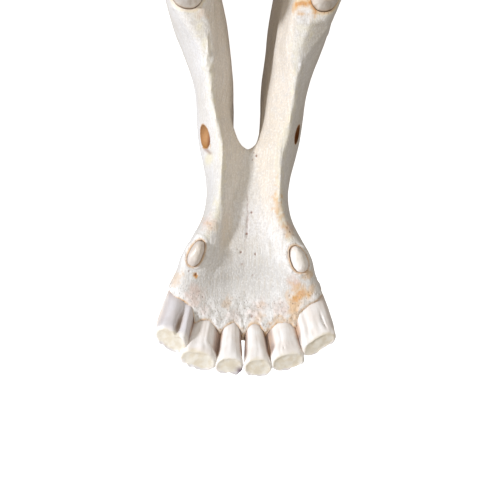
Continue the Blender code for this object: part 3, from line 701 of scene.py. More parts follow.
# The spacing of its points, how far back it is meshed finer, how far back and above what height its top is
# meshed finer once more, its triangles, and the points round a horn
BONE_SPACING = 1.6
FINE_TO = 142.0
FINEST_TO = 86.0
SHELF_HEIGHT = 30.0
MOST_TRIANGLES = 185000
HORN_POINTS = 28


def section_ring(section):
    """The closed ring of control points of one section of the bone."""
    (crest_along, crest_height), (base_along, base_height), outer, base, inner = section
    ring = []
    for x, share in (*zip(outer, OUTER_SHARES), (base, 1.0), *zip(inner, INNER_SHARES)):
        along = crest_along + share * (base_along - crest_along)
        height = crest_height + share * (base_height - crest_height)
        ring.append(place(x, along, height))
    return ring


def bone_rings(ring_steps, longest_step):
    """Rings of one half of the bone, no further apart along it than the longest step."""
    controls = [section_ring(section) for section in SECTIONS]
    centres = [sum(ring, Vector()) / len(ring) for ring in controls]
    knots = [0.0]
    for a, b in zip(centres, centres[1:]):
        knots.append(knots[-1] + (b - a).length)
    wanted = [0.0]
    for a, b in zip(knots, knots[1:]):
        steps = max(1, math.ceil((b - a) / (longest_step * MM)))
        wanted += [a + (b - a) * (i + 1) / steps for i in range(steps)]
    lines = [smooth_path([ring[i] for ring in controls], knots, wanted) for i in range(len(controls[0]))]
    return [rounded([line[i] for line in lines], ring_steps) for i in range(len(wanted))]


def ellipse(centre, across, up, half_across, half_up):
    """An oval ring round the centre, with its half sizes in millimetres."""
    turns = (2 * math.pi * i / HORN_POINTS for i in range(HORN_POINTS))
    return [centre + across * math.cos(t) * half_across * MM + up * math.sin(t) * half_up * MM for t in turns]


def horn_rings(rows):
    """Rings of a horn of the bone: each one's width lies in the side view, its thickness across the jaw."""
    filled = filled_in([(*centre, width, thickness, tilt) for centre, width, thickness, tilt in rows], 4)
    rings = []
    for x, along, height, half_width, half_thickness, tilt in filled:
        angle = math.radians(tilt)
        back = Vector((0, math.cos(angle), math.sin(angle)))
        rings.append(ellipse(place(x, along, height), Vector((1, 0, 0)), back, half_thickness, half_width))
    return rings


def condyle_rings():
    """Rings of the condyle, from its inner end to its outer end."""
    rows = filled_in([(*c, d, h) for c, d, h in CONDYLE], 4)
    back, up = Vector((0, 1, 0)), Vector((0, 0, 1))
    return [ellipse(place(x, along, height), back, up, deep, high) for x, along, height, deep, high in rows]


def drilled(bm, centre, radii, side, turn=0.0):
    """Adds a rounded plug, for a hole in the bone."""
    plug = bmesh.ops.create_uvsphere(bm, u_segments=28, v_segments=18, radius=1.0)["verts"]
    bmesh.ops.scale(bm, vec=Vector(radii) * MM, verts=plug)
    bmesh.ops.rotate(bm, matrix=Matrix.Rotation(math.radians(turn * side), 3, "Z"), verts=plug)
    x, along, height = centre
    bmesh.ops.translate(bm, vec=place(side * x, along, height), verts=plug)


def cut_notch(bone):
    """Rounds out the dip between the coronoid and the condyle, on both sides at once."""
    bm = bmesh.new()
    along, height, radius = MANDIBULAR_NOTCH
    bmesh.ops.create_cone(
        bm, cap_ends=True, segments=64, radius1=radius * MM, radius2=radius * MM, depth=0.2
    )
    bmesh.ops.rotate(bm, matrix=Matrix.Rotation(math.pi / 2, 3, "Y"), verts=bm.verts)
    bmesh.ops.translate(bm, vec=place(0, along, height), verts=bm.verts)
    cut(bone, new_piece("notch", bm))


def finer(bm, faces):
    """Quarters the faces, and leaves no face with more than four corners at their border."""
    edges = list({edge for face in faces for edge in face.edges})
    bmesh.ops.subdivide_edges(bm, edges=edges, cuts=1, use_grid_fill=True)
    bmesh.ops.triangulate(bm, faces=[face for face in bm.faces if len(face.verts) > 4])


def refine_front(bone):
    """Meshes the front of the bone finer, and the top of it finer once more."""
    bm = bmesh.new()
    bm.from_mesh(bone.data)
    front, shelf = place(0, FINE_TO, 0), place(0, FINEST_TO, SHELF_HEIGHT)
    finer(bm, [face for face in bm.faces if face.calc_center_median().y < front.y])
    bm.normal_update()
    top_faces = []
    for face in bm.faces:
        middle = face.calc_center_median()
        if middle.y < shelf.y and middle.z > shelf.z and face.normal.z > -0.1:
            top_faces.append(face)
    finer(bm, top_faces)
    bm.to_mesh(bone.data)
    bm.free()


def rough_bone():
    """The whole bone without its teeth's sockets, finely meshed where the front of it is seen close to."""
    bm = bmesh.new()
    for _, side in SIDES:
        for rings in (bone_rings(6, 3.0), horn_rings(CORONOID), horn_rings(CONDYLE_NECK), condyle_rings()):
            loft(bm, mirrored(rings, side))
    bone = new_piece("jaw_bone", bm)
    even_skin(bone, BONE_SPACING)
    cut_notch(bone)
    even_skin(bone, BONE_SPACING)
    relax(bone.data, 6)
    refine_front(bone)
    relax(bone.data, 8)
    return bone


def thin_out(bone, most):
    """Fewer faces behind the front of the bone, where it is plainer, to leave about this many triangles."""
    mesh = bone.data
    points, normals = read_points(mesh)
    _, along, _ = jaw_places(points).T
    plain = np.maximum(ramp(along, 84, 150), 0.5 * ramp(-normals[:, 2], 0.0, 0.4))
    group = bone.vertex_groups.new(name="plain")
    for step in range(1, 11):
        chosen = np.flatnonzero(np.ceil(plain * 10) == step)
        group.add(chosen.tolist(), step / 10, "REPLACE")
    count = sum(len(face.vertices) - 2 for face in mesh.polygons)
    modifier = bone.modifiers.new("fewer faces", "DECIMATE")
    modifier.ratio = min(1.0, most / count)
    modifier.vertex_group = group.name
    settle(bone)
    bone.vertex_groups.clear()


# Sockets

# Stands for any distance well away from a socket
FAR = 99.0
# Powers of the ovals that come near the outlines of an incisor's socket, its crown and a canine's socket
INCISOR_OVAL = 2.4
CROWN_OVAL = 2.44
CANINE_OVAL = 2.3


def beyond_oval(u, v, u_share, v_share, power):
    """How far u, v lies outside a full oval, from its shares of the oval's two reaches."""
    size = oval_size(u_share, v_share, power)
    return np.hypot(u, v) * (1 - 1 / np.maximum(size, 1e-6))


def incisor_socket(shape, places):
    """How far the places lie outside an incisor's socket, down from its table, and across in half widths."""
    centre, axis, wide_way, deep_way, _ = incisor_ways(shape)
    off = places - jaw_places(np.array(centre))
    down = -off @ np.array(axis)
    half_width, half_depth = incisor_size(shape, np.clip(down, SOCKET_TOP, INCISOR_LENGTH))
    u, v = off @ np.array(wide_way), off @ np.array(deep_way)
    v_share = v / (half_depth + SOCKET_GAP)
    u_share = u / (half_width + SOCKET_GAP) / flared(shape, u, np.clip(v_share, -1, 1), SOCKET_TOP)
    distance = beyond_oval(u, v, u_share, v_share, INCISOR_OVAL)
    return np.where((down > 2) & (down < 30), distance, FAR), down, u / half_width


def canine_socket(shape, places):
    """How far the places lie outside a canine's socket, up from its foot, and across it."""
    foot, top, axis, long_way, short_way = canine_ways(shape)
    off = places - jaw_places(np.array(foot))
    up = off @ np.array(axis)
    share = np.clip(up / ((top - foot).length / MM), 0, 0.7)
    half_length = read_table(CANINE_TAPER, share, 1) * shape[4] + SOCKET_GAP
    half_width = read_table(CANINE_TAPER, share, 2) * shape[5] + SOCKET_GAP
    u, v = off @ np.array(long_way), off @ np.array(short_way)
    v = v / (1 - CANINE_NARROWING * np.clip(u / half_length, -1, 1))
    distance = beyond_oval(u, v, u / half_length, v / half_width, CANINE_OVAL)
    return np.where(up > -2, distance, FAR), up, v


def cheek_socket(name, length, width, start, side, places):
    """How far the places lie outside a cheek tooth's socket, up from the level of the bone, and across it."""
    centre, along, across, up_way, _ = cheek_ways(length, start)
    off = places * (side, 1, 1) - jaw_places(np.array(centre))
    u, v, up = (off @ np.array(way) for way in (along, across, up_way))
    outline = np.array([
        (p.x * (length / 2 + SOCKET_GAP), p.y * (width / 2 + SOCKET_GAP)) for p in cheek_outline(name, 4)
    ])
    turns = np.arctan2(outline[:, 1], outline[:, 0])
    order = np.argsort(turns)
    reach = np.interp(
        np.arctan2(v, u), turns[order], np.linalg.norm(outline, axis=1)[order], period=2 * math.pi
    )
    return np.where(np.abs(up) < 24, np.hypot(u, v) - reach, FAR), up, v


def socket_distances(places):
    """Where the places lie by each tooth's socket: how far outside it, how far up or down it and across it."""
    found = {name: incisor_socket(shape, places) for name, shape in INCISORS.items()}
    found.update((name, canine_socket(shape, places)) for name, shape in CANINES.items())
    for label, side in SIDES:
        for tooth in cheek_teeth():
            found[f"{tooth[0]}_{label}"] = cheek_socket(*tooth, side, places)
    return found


# Pits and lines of the real bone

# Small holes in the top of the bone: (across, along), radius and depth
PITS = (
    ((-2.6, 45.1), 0.55, 0.7), ((2.7, 44.6), 0.55, 0.7), ((-2.1, 40.8), 0.4, 0.5), ((2.2, 36.9), 0.4, 0.4),
    ((-18.7, 36.6), 0.7, 0.6), ((-21.1, 37.8), 0.45, 0.5), ((2.1, 22.2), 0.6, 0.6), ((1.0, 59.7), 0.6, 0.7),
    ((-0.6, 51.8), 0.6, 0.9), ((2.8, 80.6), 0.55, 0.8), ((2.0, 81.9), 0.35, 0.5), ((1.4, 79.1), 0.4, 0.5),
    ((-3.0, 47.6), 0.3, 0.3), ((-2.2, 52.3), 0.3, 0.3), ((-3.8, 46.2), 0.28, 0.3), ((1.2, 48.0), 0.25, 0.3),
    ((-14.3, 54.5), 0.35, 0.4), ((-13.6, 53.4), 0.3, 0.3), ((10.2, 27.8), 0.3, 0.3), ((9.8, 33.0), 0.3, 0.3),
    ((-5.4, 27.4), 0.3, 0.3), ((-6.8, 24.4), 0.3, 0.35), ((4.4, 21.0), 0.35, 0.4), ((-0.4, 24.8), 0.3, 0.3),
    ((-4.2, 19.6), 0.3, 0.35), ((5.2, 18.8), 0.35, 0.4), ((-8.9, 20.7), 0.3, 0.3), ((8.7, 19.6), 0.3, 0.35),
    ((15.6, 30.0), 0.35, 0.4), ((16.9, 27.2), 0.35, 0.4), ((14.2, 24.1), 0.35, 0.4), ((19.1, 28.8), 0.3, 0.3),
    ((15.0, 53.0), 0.3, 0.4), ((14.0, 54.6), 0.3, 0.4), ((16.2, 51.9), 0.3, 0.3), ((13.2, 52.2), 0.3, 0.3),
    ((-15.8, 28.6), 0.35, 0.4), ((-17.2, 30.6), 0.3, 0.3), ((-14.6, 26.4), 0.3, 0.3),
)
# How wide the pits are, as a share of those radii
PIT_WIDTH = 0.62
# The short groove beside the right foramen and the seam between the two halves, as (across, along)
FORAMEN_TAIL = ((-17.3, 83.4), (-16.6, 82.4), (-15.8, 81.6), (-15.2, 80.9))
MIDDLE_SEAM = (
    (-0.7, 70.0), (-0.6, 63.0), (-0.3, 57.0), (-0.6, 51.8), (-0.9, 47.0), (-1.2, 41.5), (-0.9, 36.0),
)
# Lines of raised rough bone in front of the cheek teeth, on each side
RIDGES = {
    "right": ((-20.4, 131.5), (-19.7, 129.3), (-18.3, 123.5), (-17.6, 119.0), (-17.1, 112.0), (-16.6, 106.0)),
    "left": (
        (19.9, 131.0), (19.3, 127.7), (18.6, 124.5), (17.6, 121.0), (17.3, 117.8), (17.2, 114.3),
        (17.0, 110.8),
    ),
}
# The trough behind the incisors, along it: how far its floor reaches from the middle, and its depth below the
# crests at that edge and in the middle
TROUGH = (
    (34, 11.0, 1.8, 3.0), (40, 9.6, 2.2, 3.4), (44, 8.9, 2.4, 3.6), (49.5, 7.9, 2.6, 4.0), (57, 6.2, 3.3, 4.9),
    (64, 4.6, 5.0, 6.2), (72, 3.0, 7.2, 7.7), (80, 2.0, 8.0, 8.2),
)
# Where the inner face begins to slope down from the top of the bone on each side, as (along, distance from the
# middle plane)
SHOULDER = {
    1: (
        (100, 13.5), (112, 14.2), (118, 14.6), (125, 15.7), (131, 15.9), (138, 15.4), (150, 15.4), (160, 16.0),
    ),
    -1: (
        (100, 13.5), (112, 14.6), (118, 15.5), (125, 16.9), (131, 18.0), (138, 18.4), (150, 17.6), (160, 17.0),
    ),
}
# How far above that slope, in front of it, the bone stays as it is on each side, and from where on
SHOULDER_START = {1: (40, 116), -1: (12, 123)}


def crest_height(along):
    """Height of the plain bone's crest, by the place along it."""
    return read_table([row[0] for row in SECTIONS], along, 1)


def pit_depths(places):
    """How deep the small pits and the middle seam are at each place, and how dark they are."""
    depth = np.zeros(len(places))
    dark = np.zeros(len(places))
    upper = (places[:, 2] > 25) & (places[:, 1] < 90)
    flat = places[upper][:, :2]
    here, shade = np.zeros(len(flat)), np.zeros(len(flat))
    for (x, along), radius, deep in PITS:
        radius *= PIT_WIDTH
        away = np.hypot(flat[:, 0] - x, (flat[:, 1] - along) * 0.85)
        here = np.maximum(here, deep * near(away, 0, radius))
        shade = np.maximum(shade, min(1.0, 0.3 + 0.8 * deep) * np.exp(-((away / (radius * 1.1)) ** 4)))
    level = np.zeros(len(flat))
    wander = lumps(np.column_stack((flat * (0.4, 0.4), level)), (1, 1, 1), 2, 3.0)
    away = line_distance(flat + np.column_stack((wander * 0.5, level)), MIDDLE_SEAM)
    tail = line_distance(flat, FORAMEN_TAIL) + 0.3 * wander
    strong = 0.25 + 0.75 * ramp(flat[:, 1], 48, 53)
    strong *= ramp(flat[:, 1], 68, 64) * ramp(wander + 0.25, -0.35, 0.1)
    depth[upper] = np.maximum.reduce((here, 0.7 * near(tail, 0, 0.65), 0.4 * strong * near(away, 0, 0.35)))
    dark[upper] = np.maximum.reduce((shade, 0.6 * near(tail, 0, 0.5), 0.45 * strong * near(away, 0, 0.28)))
    return depth, dark


# The two sides of the real bone

# How far its two crests lie to its right of where equal sides would have them, along it
CREST_LEFT = (
    (30, 0), (45, 0.3), (60, 0.6), (70, 0.8), (79, 0.9), (90, 0.3), (100, 0.5), (110, 1.6), (119, 2.8),
    (125, 2.6), (150, 0.5), (190, 0),
)
CREST_RIGHT = (
    (84, 0), (92, 1.3), (99, 2.3), (104, 2.1), (108, 1.6), (111, 1.5), (113, 0.8), (115, 0.3), (117, 0.2),
    (121, 0.1), (126, 0.2), (131, 0.7), (150, 0.2), (190, 0),
)
# How far to the left of the middle it begins to be narrower than on its right
NARROW_FROM = 8.0


def bend(along):
    """The real bone is slightly bent: how far it leans to the left side, in millimetres."""
    return near(along, 95, 30) * (along < 200)


def inner_bend(x, along, height):
    """How far the inner face lies to the left of where equal sides would have it, in millimetres."""
    upper = -1.6 * near(along, 92, 18) * ramp(height, 8, 34) * ramp(np.abs(x), 12.5, 8.0)
    lower = (-0.6 - 0.5 * (x > 0) * ramp(along, 124, 134)) * ramp(along, 98, 116) * ramp(along, 170, 145)
    shoulder = -2.6 * ramp(along, 107, 122) * ramp(along, 170, 146) * ramp(height, 30, 46)
    shoulder *= ramp(x, 18.0, 14.5) * ramp(x, 2.0, 7.0)
    return upper + shoulder + lower * ramp(np.abs(x), 17, 12) * ramp(height, 30, 12)


def first_tooth_shift(x, along, height):
    """How far the first cheek tooth and the bone round it lie to the left and to the back, in millimetres."""
    near_it = ramp(along, 110, 130) * ramp(along, 172, 146) * ramp(np.abs(x), 13, 18)
    near_it = near_it * ramp(height, np.where(x < 0, 24, 49), 54)
    return near_it * np.where(x < 0, -0.7, 1.9), near_it * np.where(x < 0, -1.4, 0)


def narrowing(along):
    """How much narrower the real bone is on its left side than on its right, by the place along it."""
    return 0.095 * ramp(along, 120, 136) * ramp(along, 190, 150)


def crest_shift(x, along, height):
    """How far the crests lie to the left of where equal sides would have them, in millimetres."""
    crest = crest_height(along)
    left, right = (
        np.interp(along, *np.array(table).T, left=0, right=0) for table in (CREST_LEFT, CREST_RIGHT)
    )
    deep = np.where(x > 0, 12, 26)
    return -np.where(x > 0, left, right) * ramp(height, crest - deep, crest - 1) * ramp(np.abs(x), 1, 7)


def leaned(places):
    """The places as they are on the real bone, which isn't quite the same on both sides."""
    x, along, height = places.T
    tooth_x, tooth_along = first_tooth_shift(x, along, height)
    x, along = x + crest_shift(x, along, height) + inner_bend(x, along, height) + tooth_x, along + tooth_along
    inner = np.minimum(x, NARROW_FROM)
    x = inner + (x - inner) * (1 - narrowing(along)) + bend(along)
    return np.column_stack((x, along, height))


def straightened(places):
    """Where the places would be on a bone with two equal sides."""
    x, along, height = places.T
    x = x - bend(along)
    inner = np.minimum(x, NARROW_FROM)
    x = inner + (x - inner) / (1 - narrowing(along))
    tooth_x, tooth_along = first_tooth_shift(x, along, height)
    x = x - crest_shift(x, along, height) - inner_bend(x, along, height) - tooth_x
    return np.column_stack((x, along - tooth_along, height))


def lean(piece):
    """Moves the piece from a bone with two equal sides to the real one."""
    points, _ = read_points(piece.data)
    places = leaned(jaw_places(points))
    write_points(piece.data, (places - (0, JAW_MIDDLE, 0)) * MM)


# Relief of the bone


def set_front_face(points):
    """Draws the top of the bone's front edge forwards, and flattens it between the roots of the incisors."""
    x, along, height = jaw_places(points).T
    points[:, 1] -= 3.2 * ramp(along, 27, 17) * ramp(np.abs(x), 25, 19) * ramp(height, 34, 43) * MM
    x, along, height = jaw_places(points).T
    front_face = 13.9 + 0.012 * x**2 + 0.8 * np.maximum(46.5 - height, 0)
    moved = np.where((along < front_face) & (np.abs(x) < 24), 0.85 * (front_face - along), 0)
    points[:, 1] += moved * ramp(np.abs(x), 24, 19) * MM


def swellings(places, normals):
    """The soft uneven relief of the bone, and its swellings behind the incisors and over the canines."""
    x, along, _ = places.T
    facing_up = ramp(normals[:, 2], 0.1, 0.6)
    lift = 0.30 * lumps(places, (17, 26, 17)) + 0.07 * lumps(places, (4, 7, 4), 2, 9.0)
    lift += 0.05 * lumps(places, (1.3, 7, 1.3), 2, 4.0) * ramp(along, 130, 60)
    lift += 0.9 * near(along, 55, 8) * ramp(x, -6.5, -9.5) * facing_up
    for side, high in ((1, 0.9), (-1, 0.7)):
        away = np.hypot((x - side * 17.5) / 6.0, (along - 43.5) / 10)
        lift += high * near(away, 0, 1) * facing_up
    return lift + 1.1 * near(along, 20, 5) * ramp(np.abs(x), 24, 18) * ramp(normals[:, 2], 0.2, 0.7)


def socket_relief(places, normals):
    """How far the bone stands out over the roots, how high the sockets' rims are and how rough it is there."""
    roots, rim, rough = np.zeros((3, len(places)))
    for name, (distance, level, across) in socket_distances(places).items():
        if name.startswith("incisor"):
            rim = np.maximum(rim, 0.3 * near(distance, 0.6, 0.5))
            rough = np.maximum(rough, ramp(distance, 5.0, 1.0))
            under = ramp(-normals[:, 2], 0.0, 0.5) * ramp(level, 30, 22) * ramp(level, 6, 12)
            roots += 0.9 * under * near(across, 0, 0.75) * (distance < 12)
        elif name.startswith("canine"):
            rim = np.maximum(rim, 0.45 * near(distance, 0.8, 0.6) * ramp(level, 6, 10))
            rough = np.maximum(rough, 0.5 * ramp(distance, 3.0, 0.8))
        else:
            rim = np.maximum(rim, 0.6 * near(distance, 0.9, 0.7) * ramp(level, -8, -3))
            rough = np.maximum(rough, 0.6 * ramp(distance, 4.0, 1.0) * ramp(level, -12, -3))
            outer = ramp(across, 3, 6) * ramp(level, -34, -10) * ramp(level, 4, -4)
            roots += 0.5 * outer * near(np.abs(across), 7, 5) * (distance < 9)
    return roots, rim, rough


def ridge_relief(places):
    """The raised lines of rough bone in front of the cheek teeth, with a groove along each side of them."""
    _, along, height = places.T
    lift = np.zeros(len(places))
    picked = (height > 48) & (np.abs(along - 124) < 14)
    wander = 0.35 * lumps(places[picked], (1.4, 2.2, 1.4), 2, 40.0)
    for ridge in RIDGES.values():
        away = line_distance(places[picked][:, :2] + wander[:, None] * (1, 0), ridge)
        lift[picked] += 0.35 * near(away, 0, 0.45) - 0.2 * near(away, 0.95, 0.35)
    return lift


def bone_relief(places, normals):
    """How far the real bone stands out from the plain one at each place, in millimetres."""
    _, along, height = places.T
    front = ramp(along, 130, 60)
    roots, rim, rough = socket_relief(places, normals)
    grain = lumps(places, (1.1, 1.5, 1.1), 2, 20.0)
    lift = swellings(places, normals) + roots + rim * (1 + 0.5 * grain)
    lift += rough * (0.19 * grain + 0.12 * lumps(places, (2.0, 3.4, 2.0), 1, 31.0)) * (0.3 + 0.7 * front)
    lift += ridge_relief(places)
    muscle_scar = ramp(along, 300, 340) * ramp(height, 120, 40)
    lift += 0.5 * muscle_scar * lumps(places, (4, 14, 14), 2, 50.0)
    depth, _ = pit_depths(places)
    return lift - depth * ramp(normals[:, 2], 0.1, 0.5) * front


def sink_trough(points, places, normals, lift):
    """Sinks the trough behind the incisors into the bone, between its two crests."""
    x, along, height = places.T
    edge, edge_depth, middle_depth = (read_table(TROUGH, along, column) for column in (1, 2, 3))
    edge = edge + 1.8 * (x < 0) * near(along, 56, 8)
    part = np.clip(np.abs(x) / edge, 0, np.where(x > 0, 1.8, 1.0))
    edge_depth = edge_depth + 0.4 * (x < 0) * near(along, 50, 8)
    floor_height = crest_height(along) - middle_depth + (middle_depth - edge_depth) * part**2
    soft = np.where(x > 0, 5.5, 2.4)
    share = ramp(np.abs(x), edge + soft, edge - 0.2 * soft) * ramp(normals[:, 2], 0.2, 0.6) * (height > 30)
    share *= ramp(along, 34, 41) * ramp(along, 80, 73)
    points[:, 2] += share * (floor_height + lift * 0.6 - points[:, 2] / MM) * MM


def trim_shoulders(points, places):
    """Slopes the top of the bone down to its inner face, and on the left to its outer face too."""
    x, along, height = places.T
    crest = crest_height(along)
    for _, side in SIDES:
        reach = np.interp(along, *np.array(SHOULDER[side]).T)
        clear, clear_from = SHOULDER_START[side]
        limit = crest + 0.6 - 1.25 * np.maximum(reach - side * x, 0)
        limit += clear * ramp(along, clear_from, 104) + 40 * ramp(along, 146, 156)
        if side == 1:
            ridge_x, ridge_along = np.array(RIDGES["left"][::-1]).T
            beyond = np.maximum(x - np.interp(along, ridge_along, ridge_x), 0)
            outer = crest + 0.25 - 0.36 * beyond - 0.03 * beyond**2
            limit = np.minimum(limit, outer + 40 * ramp(along, 112, 106) + 8 * ramp(along, 126, 131))
        shaped = (side * x > 0) & (height > 30) & (along > 100) & (along < 160)
        points[:, 2] = np.where(shaped, np.minimum(points[:, 2], limit * MM), points[:, 2])


def work_relief(bone):
    """Gives the plain bone its swellings, socket rims, ridges, seam, pits, trough and rough patches."""
    points, normals = read_points(bone.data)
    set_front_face(points)
    places = jaw_places(points)
    lift = bone_relief(places, normals)
    points = points + normals * lift[:, None] * MM
    sink_trough(points, places, normals, lift)
    trim_shoulders(points, places)
    points[:, 2] = np.maximum(points[:, 2], 0.0)
    write_points(bone.data, points)
    lean(bone)


# Holes in the outer faces: the centre on the left side, the half sizes, the side and the turn in degrees
FORAMINA = (
    ((16.4, 89.2, 39.8), (1.5, 3.8, 5.0), 1, -12),
    ((18.4, 87.0, 39.0), (4.0, 4.6, 6.6), -1, 7),
    ((20.6, 102.4, 39.0), (1.0, 1.7, 2.6), 1, 0),
)
# The hole in the inner face of each ramus: its centre on the left side and its half sizes
INNER_FORAMEN = ((50.5, 337.0, 121.0), (3.2, 4.2, 6.5))


def cut_sockets(bone):
    """Cuts the teeth's sockets and the foramina out of the bone, in two goes because some of them meet."""
    for go in (0, 1):
        bm = bmesh.new()
        for name, shape in INCISORS.items():
            if name.startswith("incisor_2") == bool(go):
                loft(bm, incisor_socket_rings(shape))
        for _, side in SIDES:
            for tooth in list(cheek_teeth())[go::2]:
                loft(bm, mirrored(cheek_socket_rings(*tooth), side))
            if go:
                drilled(bm, *INNER_FORAMEN, side)
        if go:
            for shape in CANINES.values():
                loft(bm, canine_rings(shape, SOCKET_GAP))
            for centre, size, side, turn in FORAMINA:
                drilled(bm, centre, size, side, turn)
        cutter = new_piece("sockets", bm)
        lean(cutter)
        cut(bone, cutter)


# Marks on the bone

# Stains and flushes on it: (across, along), radius and strength
STAINS = (
    ((20.1, 31.2), 2.8, 0.9), ((18.4, 32.8), 2.4, 0.6), ((17.8, 29.5), 2.4, 0.9), ((21.7, 31.6), 2.4, 0.7),
    ((23.2, 33.4), 1.5, 0.5), ((17.4, 27.1), 2.1, 0.7), ((17.1, 24.7), 2.1, 0.72), ((17.6, 22.0), 2.0, 0.75),
    ((-18.7, 36.6), 0.9, 1.0), ((-16.9, 84.2), 0.8, 1.0), ((-16.4, 83.0), 0.7, 0.9), ((16.4, 20.9), 1.2, 0.6),
    ((13.1, 21.7), 1.1, 0.6), ((11.1, 21.6), 1.1, 0.5), ((9.5, 20.0), 1.0, 0.55), ((8.6, 17.4), 1.0, 0.7),
    ((7.7, 15.9), 1.2, 0.8), ((-0.9, 15.7), 1.1, 0.7), ((-1.7, 17.8), 0.9, 0.4), ((-7.7, 26.3), 2.0, 0.4),
    ((-6.3, 27.8), 1.4, 0.3), ((-9.0, 16.2), 1.0, 0.6), ((-25.9, 33.8), 2.2, 0.4), ((-24.9, 35.5), 1.6, 0.35),
    ((-14.8, 54.5), 1.0, 0.3), ((-17.4, 56.9), 1.0, 0.25), ((10.1, 65.2), 1.4, 0.6), ((10.1, 63.3), 1.4, 0.65),
    ((10.4, 61.1), 1.3, 0.55), ((11.6, 58.0), 1.3, 0.5), ((13.2, 54.8), 1.6, 0.5), ((14.9, 52.3), 1.8, 0.4),
    ((10.4, 69.0), 0.7, 0.4), ((10.6, 73.0), 0.7, 0.35), ((22.0, 38.5), 1.3, 0.6), ((19.9, 41.6), 1.2, 0.4),
    ((20.5, 37.3), 1.2, 0.5), ((5.1, 22.0), 1.4, 0.35), ((5.7, 26.0), 1.6, 0.25), ((19.4, 133.2), 2.3, 1.0),
    ((20.8, 131.0), 2.0, 1.0), ((19.2, 135.0), 1.5, 0.8), ((-19.9, 129.6), 1.6, 0.3),
    ((-17.6, 129.4), 1.2, 0.25),
)
BLUSHES = (
    ((12.6, 25.5), 2.8, 0.45), ((16.6, 35.1), 2.4, 0.55), ((-19.0, 30.0), 2.8, 0.55),
    ((-19.3, 26.8), 2.2, 0.55), ((-17.6, 29.6), 3.0, 0.3), ((5.7, 26.0), 2.6, 0.3), ((-14.8, 54.9), 2.6, 0.5),
    ((14.1, 54.1), 2.4, 0.55), ((-4.7, 22.1), 2.4, 0.3), ((2.9, 23.4), 2.4, 0.4), ((-14.9, 24.3), 2.0, 0.35),
)
# The crest seen from above, as (across, along), for the pale line that follows it on both sides
CREST_LINE = tuple(
    (section[2][0] * 0.55 + section[4][-1] * 0.45, section[0][0]) for section in SECTIONS[6:18]
)


def patches(flat, rows):
    """How strong the patches in the rows are at each place."""
    total = np.zeros(len(flat))
    for (x, along), radius, strength in rows:
        away = np.hypot(flat[:, 0] - x, flat[:, 1] - along)
        total = np.maximum(total, strength * ramp(away, radius * 1.5, radius * 0.4))
    return total


def socket_marks(sockets, wander):
    """How stained, how porous and how hollow the bone is by the sockets."""
    stain, porous, hollow = np.zeros((3, len(wander)))
    for name, (distance, level, _) in sockets.items():
        if name.startswith("incisor"):
            reach = 1.5 if name in ("incisor_3_left", "incisor_2_left") else 0.9
            stain = np.maximum(stain, 0.9 * ramp(distance, reach, 0.1) * (0.7 + 0.5 * wander))
            porous = np.maximum(porous, ramp(distance, 6.0, 1.0))
            hollow = np.maximum(hollow, 0.6 * ramp(distance, 0.08, -0.1))
        elif name.startswith("canine"):
            stain = np.maximum(stain, 0.72 * ramp(distance, 1.0, 0.15) * ramp(level, -2, 4))
            porous = np.maximum(porous, 0.6 * ramp(distance, 4.0, 1.0))
            hollow = np.maximum(hollow, 0.5 * ramp(distance, 0.05, -0.1))
        else:
            strong = 0.7 if name == "premolar_2_left" else 0.3
            stain = np.maximum(stain, strong * ramp(distance, 1.2, 0.2) * (level > -6))
            porous = np.maximum(porous, 0.5 * ramp(distance, 4.0, 1.0) * ramp(level, -10, -3))
            hollow = np.maximum(hollow, 0.3 * ramp(distance, 0.05, -0.1) * (np.abs(level) < 20))
    return stain, porous, hollow


def foramen_marks(places):
    """How hollow the bone is in its foramina, and where a painted shadow darkens one wall of each."""
    hollow, deep = np.zeros((2, len(places)))
    for centre, size, side, turn in FORAMINA:
        angle = math.radians(turn)
        off = places * (side, 1, 1) - np.array(centre)
        across = off[:, 0] * math.cos(angle) + off[:, 1] * math.sin(angle)
        back = off[:, 1] * math.cos(angle) - off[:, 0] * math.sin(angle)
        inside = np.linalg.norm(np.column_stack((across, back, off[:, 2])) / np.array(size), axis=1)
        hollow = np.maximum(hollow, ramp(inside, 1.1, 0.98))
        # Painted shadow on the wall of each hole nearer the middle of the jaw
        start = -0.3 if side == 1 else -0.45
        deep = np.maximum(deep, ramp(inside, 1.12, 1.0) * ramp(across / size[0], start, start - 0.45))
    centre, size = INNER_FORAMEN
    inside = np.linalg.norm((np.abs(places) - centre) / size, axis=1)
    return np.maximum(hollow, ramp(inside, 1.1, 0.98)), deep


